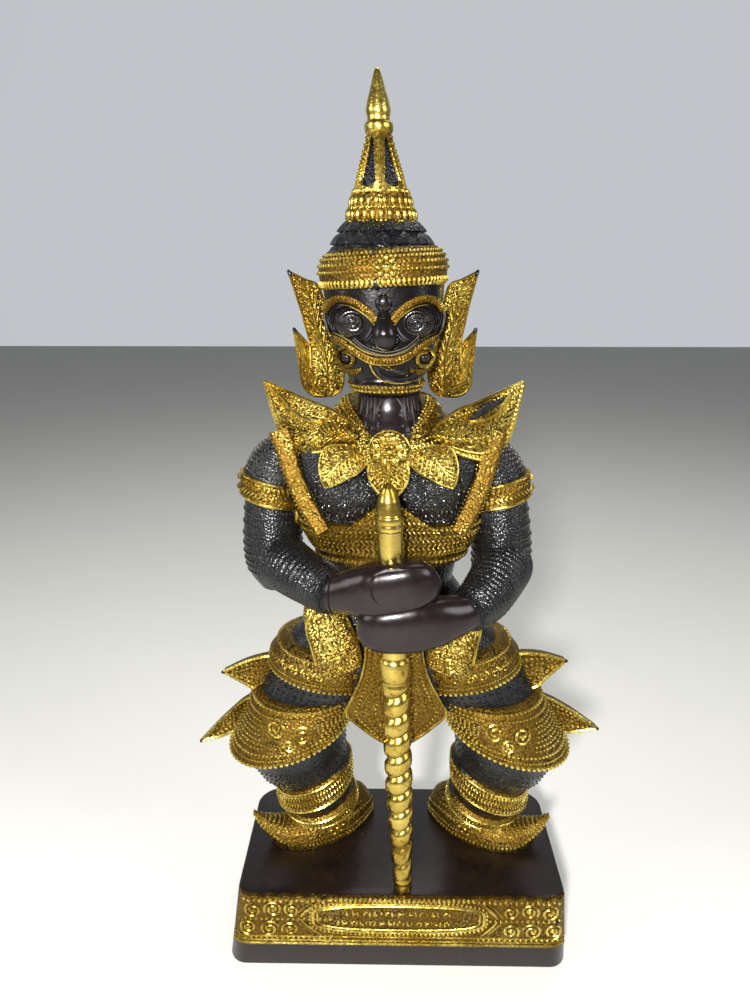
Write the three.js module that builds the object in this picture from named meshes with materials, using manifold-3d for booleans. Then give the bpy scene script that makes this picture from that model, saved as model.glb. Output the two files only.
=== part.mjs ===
// A standing guardian giant in gilded cast metal, with its club and plinth.
// Millimetres, +Z up, the figure faces -Y, origin at the centre of the plinth's underside.
import * as THREE from "three";
import { mergeVertices } from "three/addons/utils/BufferGeometryUtils.js";
import Module from "manifold-3d";

const wasm = await Module();
wasm.setup();

// Driving dimensions
const TOTAL_HEIGHT = 396.5;
const GAP = 0.3; // clearance between pieces that touch
const PLINTH = { width: 156, depth: 78, height: 40, backCorner: 13, frontCorner: 8 };
const SPLAY = { left: 5.4, right: 2.4, front: 1.6, back: 3 }; // how far each side spreads towards the bottom
const PANEL = { bottom: 13, proud: 1.8, bumps: 9, cartoucheHalf: 43, cartoucheMid: 29, cartoucheRise: 9.6 };
const LEAN = 12.2 / (TOTAL_HEIGHT - PLINTH.height); // sideways lean of the figure for each mm of height
const CLUB = { foot: [0.9, -33.2], lean: 0.0405, back: 0.02, shaft: 5.5, twist: 6.4, top: 242.7 };
const EYE = { across: 12.3, height: 303.6 };
const BELT = { top: 217, bottom: 199 };
const SHIFT = { legs: 1.8, arms: -1.8, wings: 3.2, neck: 1.2 }; // each group's own step to its left
const SOLE = PLINTH.height + GAP;
const BODY_SIDES = 14;
const LIMB_SIDES = 10;
const HAND_SIDES = 16;
const LEG_SIDES = 12;

const vec = (x, y, z) => new THREE.Vector3(x, y, z);
const mix = (a, b, t) => a + (b - a) * t;
const radians = THREE.MathUtils.degToRad;

// A closed skin through rings; each ring has its centre and two half-width vectors.
// The rings run so that "across" x direction of travel = "deep".
function skin(rings, sides, shape = () => 1) {
  const steps = rings.length - 1;
  const geometry = new THREE.CylinderGeometry(1, 1, 1, sides, steps);
  const place = geometry.attributes.position;
  for (let k = 0; k < place.count; k += 1) {
    const row = Math.round((place.getY(k) + 0.5) * steps);
    const { at, across, deep } = rings[row];
    const sine = place.getX(k);
    const cosine = place.getZ(k);
    const size = shape(Math.atan2(sine, cosine), row);
    const point = at.clone().addScaledVector(across, sine * size).addScaledVector(deep, cosine * size);
    place.setXYZ(k, point.x, point.y, point.z);
  }
  return geometry;
}

// Turns a ring's ellipse into a rounder square as the power rises above 2
const squared = (power) => (angle) => (
  (Math.abs(Math.sin(angle)) ** power + Math.abs(Math.cos(angle)) ** power) ** (-1 / power)
);

// A stack of level rings: each row is [height, half width, half depth, centre y, centre x]
function column(rows, sides, shape) {
  const rings = rows.map(([z, width, depth = width, y = 0, x = 0]) => ({
    at: vec(x, y, z),
    across: vec(width, 0, 0),
    deep: vec(0, -depth, 0),
  }));
  return skin(rings, sides, shape);
}

// One tilted ring of a garment or limb: its inner and outer edge, its half depth, the drop to its outer side
function tiltedRing(z, inner, outer, depth, drop, y = 0, dip = 0) {
  return {
    at: vec((inner + outer) / 2, y, z),
    across: vec((outer - inner) / 2, 0, -drop),
    deep: vec(0, -depth, -dip),
  };
}

// A tapering tube along a path: each row is [x, y, z, half width, half thickness].
// The half width is measured along the given side direction.
function limb(rows, sides = LIMB_SIDES, side = vec(1, 0, 0), shape = undefined) {
  const points = rows.map(([x, y, z]) => vec(x, y, z));
  const rings = rows.map(([, , , width, thickness = width], k) => {
    const before = points[Math.max(k - 1, 0)];
    const after = points[Math.min(k + 1, points.length - 1)];
    const along = after.clone().sub(before).normalize();
    const across = side.clone().addScaledVector(along, -side.dot(along)).normalize();
    const deep = across.clone().cross(along);
    return { at: points[k], across: across.multiplyScalar(width), deep: deep.multiplyScalar(thickness) };
  });
  return skin(rings, sides, shape);
}

// A ball squashed to three half sizes
function ball(at, sizes, sides = 12, rows = 8) {
  const geometry = new THREE.SphereGeometry(1, sides, rows);
  geometry.scale(...sizes);
  geometry.translate(...at);
  return geometry;
}

// A flat plate with an outline of [x, z] points, from a back face at y to a front face nearer the viewer
function plate(outline, y, thickness, edge = 0) {
  const shape = new THREE.Shape(outline.map(([x, z]) => new THREE.Vector2(x, z)));
  const geometry = new THREE.ExtrudeGeometry(shape, {
    depth: thickness - 2 * edge,
    bevelEnabled: edge > 0,
    bevelThickness: edge,
    bevelSize: edge,
    bevelOffset: -edge,
    bevelSegments: 1,
  });
  geometry.translate(0, 0, edge);
  geometry.rotateX(radians(90));
  geometry.translate(0, y, 0);
  return geometry;
}

// Bends a geometry by moving each of its points
function reshape(geometry, move) {
  const place = geometry.attributes.position;
  const point = vec(0, 0, 0);
  for (let k = 0; k < place.count; k += 1) {
    move(point.fromBufferAttribute(place, k));
    place.setXYZ(k, point.x, point.y, point.z);
  }
  return geometry;
}

// The same form on the other side of the body
function mirrored(geometry) {
  const copy = geometry.clone().scale(-1, 1, 1);
  const order = copy.index.array;
  for (let k = 0; k < order.length; k += 3) {
    const first = order[k];
    order[k] = order[k + 1];
    order[k + 1] = first;
  }
  return copy;
}

function welded(geometry) {
  const bare = geometry.clone();
  bare.deleteAttribute("normal");
  bare.deleteAttribute("uv");
  return mergeVertices(bare, 1e-3);
}

const pair = (geometry) => {
  const one = welded(geometry);
  return [one, mirrored(one)];
};

// Moves a form to one side
const moved = (shift) => (geometry) => geometry.translate(shift, 0, 0);

function solid(geometry) {
  const merged = welded(geometry);
  const vertProperties = new Float32Array(merged.attributes.position.array);
  const triVerts = new Uint32Array(merged.index.array);
  return new wasm.Manifold(new wasm.Mesh({ numProp: 3, vertProperties, triVerts }));
}

const joined = (geometries) => geometries.map(solid).reduce((whole, next) => whole.add(next));

function meshOf(name, body, material) {
  const { vertProperties, triVerts } = body.getMesh();
  const geometry = new THREE.BufferGeometry();
  geometry.setAttribute("position", new THREE.BufferAttribute(vertProperties, 3));
  geometry.setIndex(new THREE.BufferAttribute(triVerts, 1));
  const mesh = new THREE.Mesh(geometry, material);
  mesh.name = name;
  return mesh;
}

// Crown: a spire with six ribs, a gilded base, a petalled cap and a beaded diadem
function crown() {
  const lobes = (count, depth) => (angle) => 1 - depth * (0.5 - 0.5 * Math.cos(count * angle));
  const finial = column([
    [373.4, 4.8], [375.6, 5.9], [378.6, 5.9], [380, 4.9], [387, 3.6], [392, 2.1], [TOTAL_HEIGHT, 0.6],
  ], 10);
  const ribs = column([[352, 9.6], [357, 9], [366, 7.2], [374.5, 4.6]], 18, lobes(6, 0.4));
  const base = column([[340.5, 14], [342.4, 14.8], [346.4, 13.8], [347, 12.6], [352.4, 11.4], [355.5, 9]], 16,
    lobes(8, 0.08));
  const cap = column([[328, 21.6], [334, 19], [334.6, 17.8], [339.4, 15.4], [342, 13.4]], 16, lobes(8, 0.05));
  const diadem = column([
    [316, 24.8], [317.4, 26.2], [323.4, 27], [327.4, 25.2], [330.4, 22.4],
  ], BODY_SIDES, squared(2.3));
  return [finial, ribs, base, cap, diadem];
}

// Head: skull with its chin strap, bulging eyes with arched brows, broad nose, moustache and curled tusks
function head() {
  const skull = column([
    [273.6, 12, 16, -5], [275.4, 14.8, 18.6, -5], [278, 16.6, 19.8, -4.6], [280, 15.8, 18.4, -4.2],
    [287, 20.4, 20.6, -2.5], [294, 23, 22, -1.5], [304, 24.6, 23, -1], [318, 25.4, 24, 0],
  ], BODY_SIDES, squared(2.5));
  const front = -23;
  const up = vec(0, 0, 1);
  const eye = ball([EYE.across, front + 3.8, EYE.height], [8.2, 6, 6.2], 10, 5);
  const pupil = ball([EYE.across, front - 1.4, EYE.height], [3.2, 2.4, 3], 6, 4);
  const brow = limb([
    [3.6, front - 2.2, 304.5, 1.3], [9, front - 1.8, 311.6, 1.8], [15.6, front + 2, 313.4, 1.9],
    [21.6, front + 8, 308, 1.2],
  ], 4, up);
  const nose = limb([
    [0, front + 1, 316, 4, 2.4], [0, front - 3, 304, 4, 3.2], [0, front - 3.2, 298, 6.8, 4.4],
    [0, front - 1.6, 293.4, 7, 3.8],
  ], 6, vec(-1, 0, 0));
  const moustache = limb([
    [0, front - 2.6, 288.6, 1.9], [9, front - 1.2, 290, 2], [17, front + 5, 294.6, 1.9], [22.6, front + 15, 300.5, 1.4],
  ], 4, up);
  const tusk = limb([
    [11.4, front + 3.4, 284.6, 1.6], [16, front + 7.6, 283, 1.9], [18.8, front + 10, 286.6, 1.8],
    [16.2, front + 6.6, 290, 1.2],
  ], 4, vec(0, 1, 0));
  const lip = limb([[0, front - 1.6, 279.6, 1.6], [8, front + 0.6, 283, 1.6], [13, front + 5, 289, 1.2]], 4, up);
  const ear = limb([
    [24.4, -4, 313, 2.2, 3], [26.6, -3, 304, 2.6, 3.4], [22.4, -3, 291, 1.8, 2.6],
  ], 4, vec(-1, 0, 0));
  return [skull, nose, ...[eye, pupil, brow, moustache, tusk, lip, ear].flatMap(pair)];
}

// Ear ornament: a tall flame with a second tongue, on a round lobe, with raised veins
function earOrnament() {
  const outline = [
    [22, 272], [27, 270.4], [33, 271.6], [36, 276], [36.4, 283], [37.2, 290], [38.3, 297.6], [34.4, 293.6],
    [32.4, 297], [34.2, 304], [36.6, 312], [39.2, 322], [33.2, 319.4], [25.6, 317.4], [24.6, 308],
    [23.6, 298], [20, 290], [18.4, 282], [18.8, 275.4],
  ];
  const flame = plate(outline, 5, 6, 1.2);
  const vein = (rows) => limb(rows, 4, vec(1, 0, 0));
  const upperVein = vein([[24, -1.5, 278, 1.5], [27, -1.7, 294, 1.9], [35.4, -1.4, 316, 0.8]]);
  const lowerVein = vein([[28, -1.5, 275, 1.6], [32.4, -1.7, 284, 1.8], [36, -1.4, 293, 0.8]]);
  return [flame, upperVein, lowerVein].flatMap(pair);
}

// Neck: a grooved bell that flares onto the collar
function neck() {
  const grooves = (angle) => 1 - 0.06 * (0.5 - 0.5 * Math.cos(9 * angle));
  const rows = [[250, 19, 19, -3], [257, 17.4, 18, -4], [261, 15.6, 16.6, -4], [267, 13.8, 14.4, -3.4], [278, 13.4, 14, -3]];
  return [column(rows, BODY_SIDES, grooves)].map(moved(SHIFT.neck));
}

// Trunk: hips, waist, the stepped belt and the chest in one, with two round chest muscles
function trunk() {
  const body = column([
    [132, 40, 20], [140, 55, 23], [150, 53, 22.4], [158, 48.4, 21], [166, 41.6, 20], [176, 35.4, 18.4],
    [188, 27.4, 17.4], [BELT.bottom - 1.4, 29.6, 18], [BELT.bottom, 33, 20.4], [213, 40.2, 22.8],
    [BELT.top + 1.4, 41.4, 23.6], [BELT.top + 2.6, 39.4, 20.6], [238, 42.5, 22, 1], [248, 42, 21, 2],
    [257, 36, 17, 3], [264, 22, 13, 3],
  ], BODY_SIDES, squared(2.5));
  const muscle = ball([15.5, -14, 234.5], [14.5, 11, 13.5], 10, 6);
  const beltPoint = plate([[-16, 214], [16, 214], [10.4, 223], [3, 231], [-3, 231], [-10.4, 223]], -17, 7.6);
  return [body, beltPoint, ...pair(muscle)];
}

// Collar: a sloping ring with a flower in the middle, three leaves and the pointed shoulder wings
function collar() {
  const ring = column([
    [244.6, 33, 24, -1], [247, 34, 24.6, -1], [256, 27, 22, -1.6], [262, 22, 18.6, -2], [266, 19, 15, -1],
  ], BODY_SIDES);
  const petals = (angle) => 1 - 0.12 * (0.5 - 0.5 * Math.cos(8 * angle));
  const flower = limb([[0, -20, 252, 8.2], [0, -27, 252, 8.2], [0, -28.4, 252, 6.4]], 16, vec(1, 0, 0), petals);
  const heart = ball([0, -28.6, 252], [3, 2.2, 3], 6, 4);
  const sideLeaf = plate([[9.6, 246.4], [10.6, 240], [15, 236.4], [25.6, 236.6], [28.4, 243], [27, 249.6], [17, 252]],
    -20, 5.4);
  const middleLeaf = plate([[-8.4, 246], [-8, 239], [0, 231.6], [8, 239], [8.4, 246]], -22.4, 5);
  const wing = plate([
    [15, 261], [22, 267], [31, 269.4], [40.4, 273.6], [54.8, 277.2], [51, 260], [46.4, 249.4], [40, 243], [20, 250],
  ], 0, 7, 1);
  reshape(wing, (p) => {
    p.y += Math.min(0, (p.x - 46) * 0.55);
  });
  const wings = pair(wing).map(moved(SHIFT.wings));
  return [ring, flower, heart, middleLeaf, ...pair(sideLeaf), ...wings];
}

// Straps that cross from the shoulders to the belt
function straps() {
  const strap = limb([
    [44, -7, 249, 4.4, 3], [41, -9.4, 239, 4, 3.4], [36, -14, 228, 3.6, 3.4], [27.6, -20.4, 215, 3, 3],
  ], 6);
  return pair(strap);
}

// Section of an arm: round up to the wrist, then squarish with four finger ridges on its front
function knuckles(angle, row) {
  if (row < 5) return 1;
  const square = squared(3)(angle);
  return row < 7 || Math.cos(angle) < -0.1 ? square : square * (0.92 + 0.09 * Math.cos(8 * angle));
}

// Arms: upper arm with its slanting band, and each forearm with its hand, one above the other on the club
function arms() {
  const upperArm = skin([
    tiltedRing(185, 42, 58, 8, 0, -5), tiltedRing(193, 38.6, 63.8, 12.4, 0, -2.5), tiltedRing(206, 38.8, 65, 13.2, 0, -1),
    tiltedRing(223.6, 38.4, 63, 12.6, -3.6, 1), tiltedRing(224.4, 37, 64.6, 14, -3.6, 1),
    tiltedRing(233.6, 37, 63.8, 13.6, -3.6, 2), tiltedRing(234.6, 38.2, 62, 12.2, -3, 2),
    tiltedRing(246, 34, 57.6, 11.6, 0, 2.6), tiltedRing(254, 26, 52, 10, 3, 3), tiltedRing(260, 24, 42, 6, 4, 3),
  ], LIMB_SIDES);
  const rightArm = limb([
    [-52, 0, 196, 9], [-48, -8, 196.6, 12.4], [-42, -18, 197, 12], [-33, -27, 194.6, 10.4], [-26, -33.4, 193, 9],
    [-25, -34, 193, 8, 6.6], [-16, -38.4, 195.6, 10, 7.4], [-8, -40.4, 197.6, 11, 8.4], [6, -41, 200.6, 11, 8.6],
    [17, -39.4, 203, 7.6, 5.4],
  ], HAND_SIDES, vec(0, 0, 1), knuckles);
  const leftArm = limb([
    [52, 0, 196, 9], [50.6, -6, 196, 12.8], [46.6, -15, 193, 12.2], [39.6, -26, 188, 10.8], [32, -34, 185.4, 9],
    [31, -34.6, 185.2, 8, 6.6], [22, -38.4, 184.2, 10.4, 7.4], [11, -40.4, 183, 11.4, 8.4],
    [-3, -41, 181.6, 10.6, 8.6], [-12.6, -39.4, 182, 7.4, 5.4],
  ], HAND_SIDES, vec(0, 0, -1), knuckles);
  return [...pair(upperArm).map(moved(SHIFT.arms)), rightArm, leftArm];
}

// Upper skirt: a flared band over each hip
function upperSkirt() {
  const band = skin([
    tiltedRing(140.4, 4, 59, 23.4, -4, 0, 1), tiltedRing(141.6, 4, 60.4, 25.4, -4, 0, 1), tiltedRing(147, 4, 59.6, 26, -4, 0, 1),
    tiltedRing(155, 2, 54.8, 24.6, -2, 0, 1), tiltedRing(157, 2, 52, 22, -2, 0, 1),
  ], LEG_SIDES);
  return pair(band);
}

// Lower skirt: a wide cuff over each thigh
function lowerSkirt() {
  const cuff = skin([
    tiltedRing(108.4, 25, 80, 24, 8, -4, 4), tiltedRing(110.4, 23, 82.6, 27, 8, -4, 4), tiltedRing(117, 21.6, 79.4, 26.6, 7, -3, 4),
    tiltedRing(130.4, 15.6, 69.6, 24, 2, -1, 1), tiltedRing(132, 16.6, 67.6, 22, 2, -1, 1), tiltedRing(144, 8, 60, 22, 0),
  ], LEG_SIDES);
  return pair(cuff).map(moved(SHIFT.legs / 2));
}

// Pointed wings that stand out from both skirts
function wings() {
  const wing = (side, root, tip, y) => {
    const [[x0, z0], [x1, z1]] = root;
    const outline = [[x0 - 9, z0 - 3], [x0, z0 + 1], [mix(x0, tip[0], 0.5), mix(z0, tip[1], 0.5) + 1.6], tip,
      [mix(x1, tip[0], 0.45), mix(z1, tip[1], 0.45) - 0.6], [x1, z1], [x1 - 12, z1 + 4]];
    const turned = outline.map(([x, z]) => [side * x, z]);
    return plate(side > 0 ? turned.reverse() : turned, y, 5, 1);
  };
  return [
    wing(-1, [[58, 146], [66, 127]], [82.5, 138], 1),
    wing(1, [[58, 148], [66, 129]], [81.2, 145.4], 1),
    wing(-1, [[71, 123], [82, 103]], [97, 99.6], 1),
    wing(1, [[71, 125], [82, 105]], [98, 108.6], 1),
  ];
}

// Front apron between the thighs, with a scrolled panel over each hip
function apron() {
  const cloth = plate([
    [-12, 168], [-12.6, 158], [-16, 147], [-22.6, 131], [-19, 126.4], [-9, 118], [0, 112.4], [9, 118], [19, 126.4],
    [22.6, 131], [16, 147], [12.6, 158], [12, 168],
  ], -18, 8, 1);
  const sidePanel = limb([
    [-30, -14, 190, 6, 4], [-31, -20, 180, 8, 4], [-29, -23, 170, 9, 4], [-24, -24, 160, 10, 4], [-20, -24, 152, 8, 4],
  ], 6, vec(-1, 0, 0));
  return [cloth, ...pair(sidePanel)];
}

// Legs: anklet, greave and dark knee roll in one skin
function legs() {
  const leg = skin([
    tiltedRing(50, 26, 55, 13, 2, 11, 2), tiltedRing(55, 24.6, 57, 15, 2, 8, 2), tiltedRing(57, 23, 59, 17, 3, 7, 3),
    tiltedRing(62, 24, 61, 17.6, 4, 6, 4), tiltedRing(63, 27, 58.4, 15, 4, 5, 3), tiltedRing(69.4, 27, 61, 16.4, 6, 3, 2),
    tiltedRing(70.4, 25.2, 63.4, 18.6, 6, 3, 2), tiltedRing(81, 25.2, 63.4, 18.6, 8, 3, 2),
    tiltedRing(82, 26.8, 62.6, 17.4, 8, 3, 2), tiltedRing(89, 27.4, 70, 19.6, 8, 1, 2), tiltedRing(96, 27, 74, 21.6, 7, 0, 2),
    tiltedRing(112, 30, 76, 22, 6, -2, 2),
  ], LEG_SIDES);
  return pair(leg).map(moved(SHIFT.legs));
}

// Shoes turned outwards, wide at the ball, with an upturned toe, flat below
function shoes() {
  const ring = ([x, y, rise, width, height]) => ({ at: vec(x, y, SOLE + rise), width, height });
  const rows = [
    [20.4, 30, 0, 5, 9], [24, 25.4, 0, 11, 15], [36, 12.6, 0, 15, 18.4], [50, 2.4, 0, 13.4, 14],
    [59, -1, 2, 10.4, 10.4], [66.4, -2.4, 7, 6.4, 7], [72, -2.8, 12, 3, 4], [75.4, -2.8, 17.4, 1, 1.4],
  ].map(ring);
  const rings = rows.map(({ at, width, height }, k) => {
    const ahead = rows[Math.min(k + 1, rows.length - 1)].at.clone().sub(rows[Math.max(k - 1, 0)].at).setZ(0).normalize();
    return { at, across: vec(ahead.y, -ahead.x, 0).multiplyScalar(width), deep: vec(0, 0, height) };
  });
  return pair(skin(rings, LIMB_SIDES)).map(moved(SHIFT.legs / 2));
}

// The whole figure in one piece, leaning to its right, cut flat below and open around the club
function figure() {
  const forms = [
    crown(), head(), earOrnament(), neck(), trunk(), collar(), straps(), arms(), upperSkirt(), lowerSkirt(),
    wings(), apron(), legs(), shoes(),
  ].flat();
  const leaning = forms.map((form) => reshape(welded(form), (p) => {
    p.x -= (p.z - PLINTH.height) * LEAN;
  }));
  const below = new THREE.BoxGeometry(PLINTH.width * 2, PLINTH.depth * 2, SOLE * 2);
  return joined(leaning).subtract(solid(below)).subtract(solid(club(GAP)));
}

// The club: a plain shaft with a pointed head above the hands, a knob and a rope twist below them
function club(extra = 0) {
  const foot = SOLE - extra;
  const lowTwist = 46;
  const highTwist = 152;
  const turns = 10.5;
  const steps = extra > 0 ? 4 : 24;
  const low = [[foot, 4.3], [lowTwist, 4.3]];
  const twisted = Array.from({ length: steps + 1 }, (_, k) => {
    const t = k / steps;
    return [mix(lowTwist, highTwist, t), mix(4.6, CLUB.twist, Math.min(1, t * 2))];
  });
  const high = [
    [154, 6], [156, 6.6], [163, 6.7], [165, 5.9], [210, CLUB.shaft], [222.6, CLUB.shaft], [224, 5.8], [228.6, 5.7],
    [229.6, 5], [232, 4.9], [237, 4], [241, 2.2], [CLUB.top, 0.6],
  ];
  const rows = [...low, ...twisted, ...high].map(([z, radius]) => [z, radius + extra]);
  const rope = (angle, row) => {
    const k = row - low.length;
    if (k < 0 || k > steps) return 1;
    return 1 - 0.13 * (0.5 + 0.5 * Math.cos(angle - 2 * Math.PI * turns * (k / steps)));
  };
  const shaft = column(rows, 8, extra > 0 ? undefined : rope);
  return reshape(shaft, (p) => {
    p.x += CLUB.foot[0] - (p.z - PLINTH.height) * CLUB.lean;
    p.y += CLUB.foot[1] - (p.z - PLINTH.height) * CLUB.back;
  });
}

// Plan of the plinth's top: a rectangle with rounded corners
function plinthPlan() {
  const shape = new THREE.Shape();
  const halfWidth = PLINTH.width / 2;
  const halfDepth = PLINTH.depth / 2;
  const corners = [
    [halfWidth, -halfDepth, PLINTH.frontCorner, -Math.PI / 2], [halfWidth, halfDepth, PLINTH.backCorner, 0],
    [-halfWidth, halfDepth, PLINTH.backCorner, Math.PI / 2], [-halfWidth, -halfDepth, PLINTH.frontCorner, Math.PI],
  ];
  for (const [x, y, r, start] of corners) {
    shape.absarc(x - Math.sign(x) * r, y - Math.sign(y) * r, r, start, start + Math.PI / 2, false);
  }
  shape.closePath();
  return shape;
}

// How far the plinth's surface has spread at a height
const spread = (z, side) => (1 - z / PLINTH.height) * side;

// The plinth's block with its gilded front panel, bumpy along the top, and the raised cartouche
function plinth() {
  const { width, depth, height } = PLINTH;
  const block = new THREE.ExtrudeGeometry(plinthPlan(), { depth: height, bevelEnabled: false, curveSegments: 4 });
  reshape(block, (p) => {
    p.x += (p.x / (width / 2)) * spread(p.z, p.x < 0 ? SPLAY.left : SPLAY.right);
    p.y += (p.y / (depth / 2)) * spread(p.z, p.y < 0 ? SPLAY.front : SPLAY.back);
  });
  const { bottom, bumps, cartoucheHalf: long, cartoucheMid: mid, cartoucheRise: rise } = PANEL;
  const inset = 1.5;
  const left = (z) => -width / 2 - spread(z, SPLAY.left) + inset;
  const right = (z) => width / 2 + spread(z, SPLAY.right) - inset;
  const crest = Array.from({ length: 2 * bumps + 1 }, (_, k) => [
    mix(right(height), left(height), k / (2 * bumps)), height + (k % 2 === 0 ? -1.2 : 1.2),
  ]);
  const panel = plate([[left(bottom), bottom], [right(bottom), bottom], ...crest], 0, PANEL.proud + 1);
  const cartouche = new THREE.Shape();
  cartouche.moveTo(-long + rise, mid - rise);
  cartouche.absarc(long - rise, mid, rise, -Math.PI / 2, Math.PI / 2, false);
  cartouche.absarc(-long + rise, mid, rise, Math.PI / 2, (3 * Math.PI) / 2, false);
  const rim = plate(cartouche.getPoints(6).map((p) => [p.x, p.y]), 0, PANEL.proud + 2.2, 0.8);
  const onFront = (geometry) => reshape(geometry, (p) => {
    p.y += 1 - depth / 2 - spread(p.z, SPLAY.front);
  });
  return joined([block, onFront(panel), onFront(rim)]);
}

const gilding = new THREE.MeshStandardMaterial({ color: 0xb8902f, roughness: 0.34, metalness: 1 });
const brass = new THREE.MeshStandardMaterial({ color: 0xa87f35, roughness: 0.28, metalness: 1 });
const darkBronze = new THREE.MeshStandardMaterial({ color: 0x2a1c1e, roughness: 0.36, metalness: 0.6 });

const statue = new THREE.Group();
statue.add(meshOf("figure", figure(), gilding));
statue.add(meshOf("club", solid(club()), brass));
statue.add(meshOf("plinth", plinth(), darkBronze));

export default statue;
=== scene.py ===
"""Builds the finished look of a cast guardian giant on its plinth around the packed model."""

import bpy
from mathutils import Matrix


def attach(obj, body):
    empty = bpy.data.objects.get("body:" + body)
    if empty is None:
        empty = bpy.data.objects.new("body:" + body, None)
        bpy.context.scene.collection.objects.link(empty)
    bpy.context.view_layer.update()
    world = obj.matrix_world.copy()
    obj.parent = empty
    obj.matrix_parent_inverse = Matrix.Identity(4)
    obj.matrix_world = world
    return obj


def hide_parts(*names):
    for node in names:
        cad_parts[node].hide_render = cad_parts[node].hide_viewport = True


bl_info = {
    "name": "Guardian Giant Statue",
    "version": (1, 0, 0),
    "blender": (4, 5, 0),
    "location": "View3D > Sidebar > Statue",
    "description": "Crown, face, ornaments, skirts, club and plinth of a gilded guardian figure",
    "category": "Object",
}

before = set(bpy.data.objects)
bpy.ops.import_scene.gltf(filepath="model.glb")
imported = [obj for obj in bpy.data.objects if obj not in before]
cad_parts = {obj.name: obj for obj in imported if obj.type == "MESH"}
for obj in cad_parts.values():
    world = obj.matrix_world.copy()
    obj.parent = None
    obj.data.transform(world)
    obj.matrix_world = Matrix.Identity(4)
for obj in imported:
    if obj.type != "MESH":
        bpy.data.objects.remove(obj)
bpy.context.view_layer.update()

import math

import bmesh
import bpy
from mathutils import Matrix, Vector
from mathutils.bvhtree import BVHTree

# Driving sizes, in millimetres, of the upright figure. It leans to its right as it is finished.
MM = 0.001
TOTAL = 396.5
PLINTH_WIDTH = 156.0
PLINTH_DEPTH = 78.0
PLINTH_TOP = 40.0
SOLE = 40.3
LEAN = 12.2 / (TOTAL - PLINTH_TOP)
SPLAY_LEFT = 5.4
SPLAY_RIGHT = 2.4
SPLAY_FRONT = 1.6
SPLAY_BACK = 3.0
PANEL_BOTTOM = 13.0
FACE_Y = -23.0
EYE_X = 12.4
EYE_Z = 303.4
BELT_BOTTOM = 199.0
BELT_TOP = 217.0
SHIFT_LEGS = 1.8
SHIFT_ARMS = -1.8
SHIFT_WINGS = 3.2
SHIFT_NECK = 1.2
CLUB_X = 0.9
CLUB_Y = -33.2
CLUB_LEAN = 0.0405
CLUB_BACK = 0.02
CLUB_TURNS = 10.5
TAU = 2 * math.pi


# Small helpers for numbers


def mix(a, b, t):
    return a + (b - a) * t


def smoothstep(low, high, x):
    t = min(1.0, max(0.0, (x - low) / (high - low)))
    return t * t * (3 - 2 * t)


def catmull(a, b, c, d, t):
    """The point between b and c on a smooth curve through a, b, c and d."""
    return 0.5 * (2 * b + (c - a) * t + (2 * a - 5 * b + 4 * c - d) * t * t + (3 * b - a - 3 * c + d) * t ** 3)


def along(points, t, smooth=True):
    """The point at share t, by index, of a path through the points."""
    last = len(points) - 1
    k = min(int(t * last), last - 1)
    f = t * last - k
    if not smooth:
        return points[k].lerp(points[k + 1], f)
    return catmull(points[max(k - 1, 0)], points[k], points[k + 1], points[min(k + 2, last)], f)


def evenly(points, spacing, closed=False):
    """Points and directions at even spacing on a polyline."""
    if closed:
        points = points + points[:1]
    lengths = [(b - a).length for a, b in zip(points, points[1:])]
    total = sum(lengths)
    count = max(1, round(total / spacing))
    step = total / count
    spots = []
    k = 0
    walked = 0.0
    for n in range(count + (0 if closed else 1)):
        goal = min(n * step, total - 1e-6)
        while walked + lengths[k] < goal:
            walked += lengths[k]
            k += 1
        way = points[k + 1] - points[k]
        spots.append((points[k] + way * ((goal - walked) / lengths[k]), way.normalized()))
    return spots


def path(rows, count=40, smooth=True):
    """A smooth polyline through [x, y, z] rows."""
    points = [Vector(row) for row in rows]
    return [along(points, k / count, smooth) for k in range(count + 1)]


# Rings and skins


def level(z, width, depth=None, y=0.0, x=0.0):
    """A level ring: its height, half width, half depth and centre."""
    depth = width if depth is None else depth
    return Vector((x, y, z)), Vector((width, 0, 0)), Vector((0, -depth, 0))


def tilted(z, inner, outer, depth, drop, y=0.0, dip=0.0):
    """A tilted ring of a garment: its inner and outer edge, half depth and the drop to its outer side."""
    return (
        Vector(((inner + outer) / 2, y, z)),
        Vector(((outer - inner) / 2, 0, -drop)),
        Vector((0, -depth, -dip)),
    )


def limb(rows, side=(1, 0, 0)):
    """Rings along a path of [x, y, z, half width, half thickness]; the width lies along the side."""
    side = Vector(side)
    points = [Vector(row[:3]) for row in rows]
    rings = []
    for k, row in enumerate(rows):
        way = (points[min(k + 1, len(rows) - 1)] - points[max(k - 1, 0)]).normalized()
        across = (side - way * side.dot(way)).normalized()
        deep = across.cross(way)
        rings.append((points[k], across * row[3], deep * (row[4] if len(row) > 4 else row[3])))
    return rings


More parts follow.
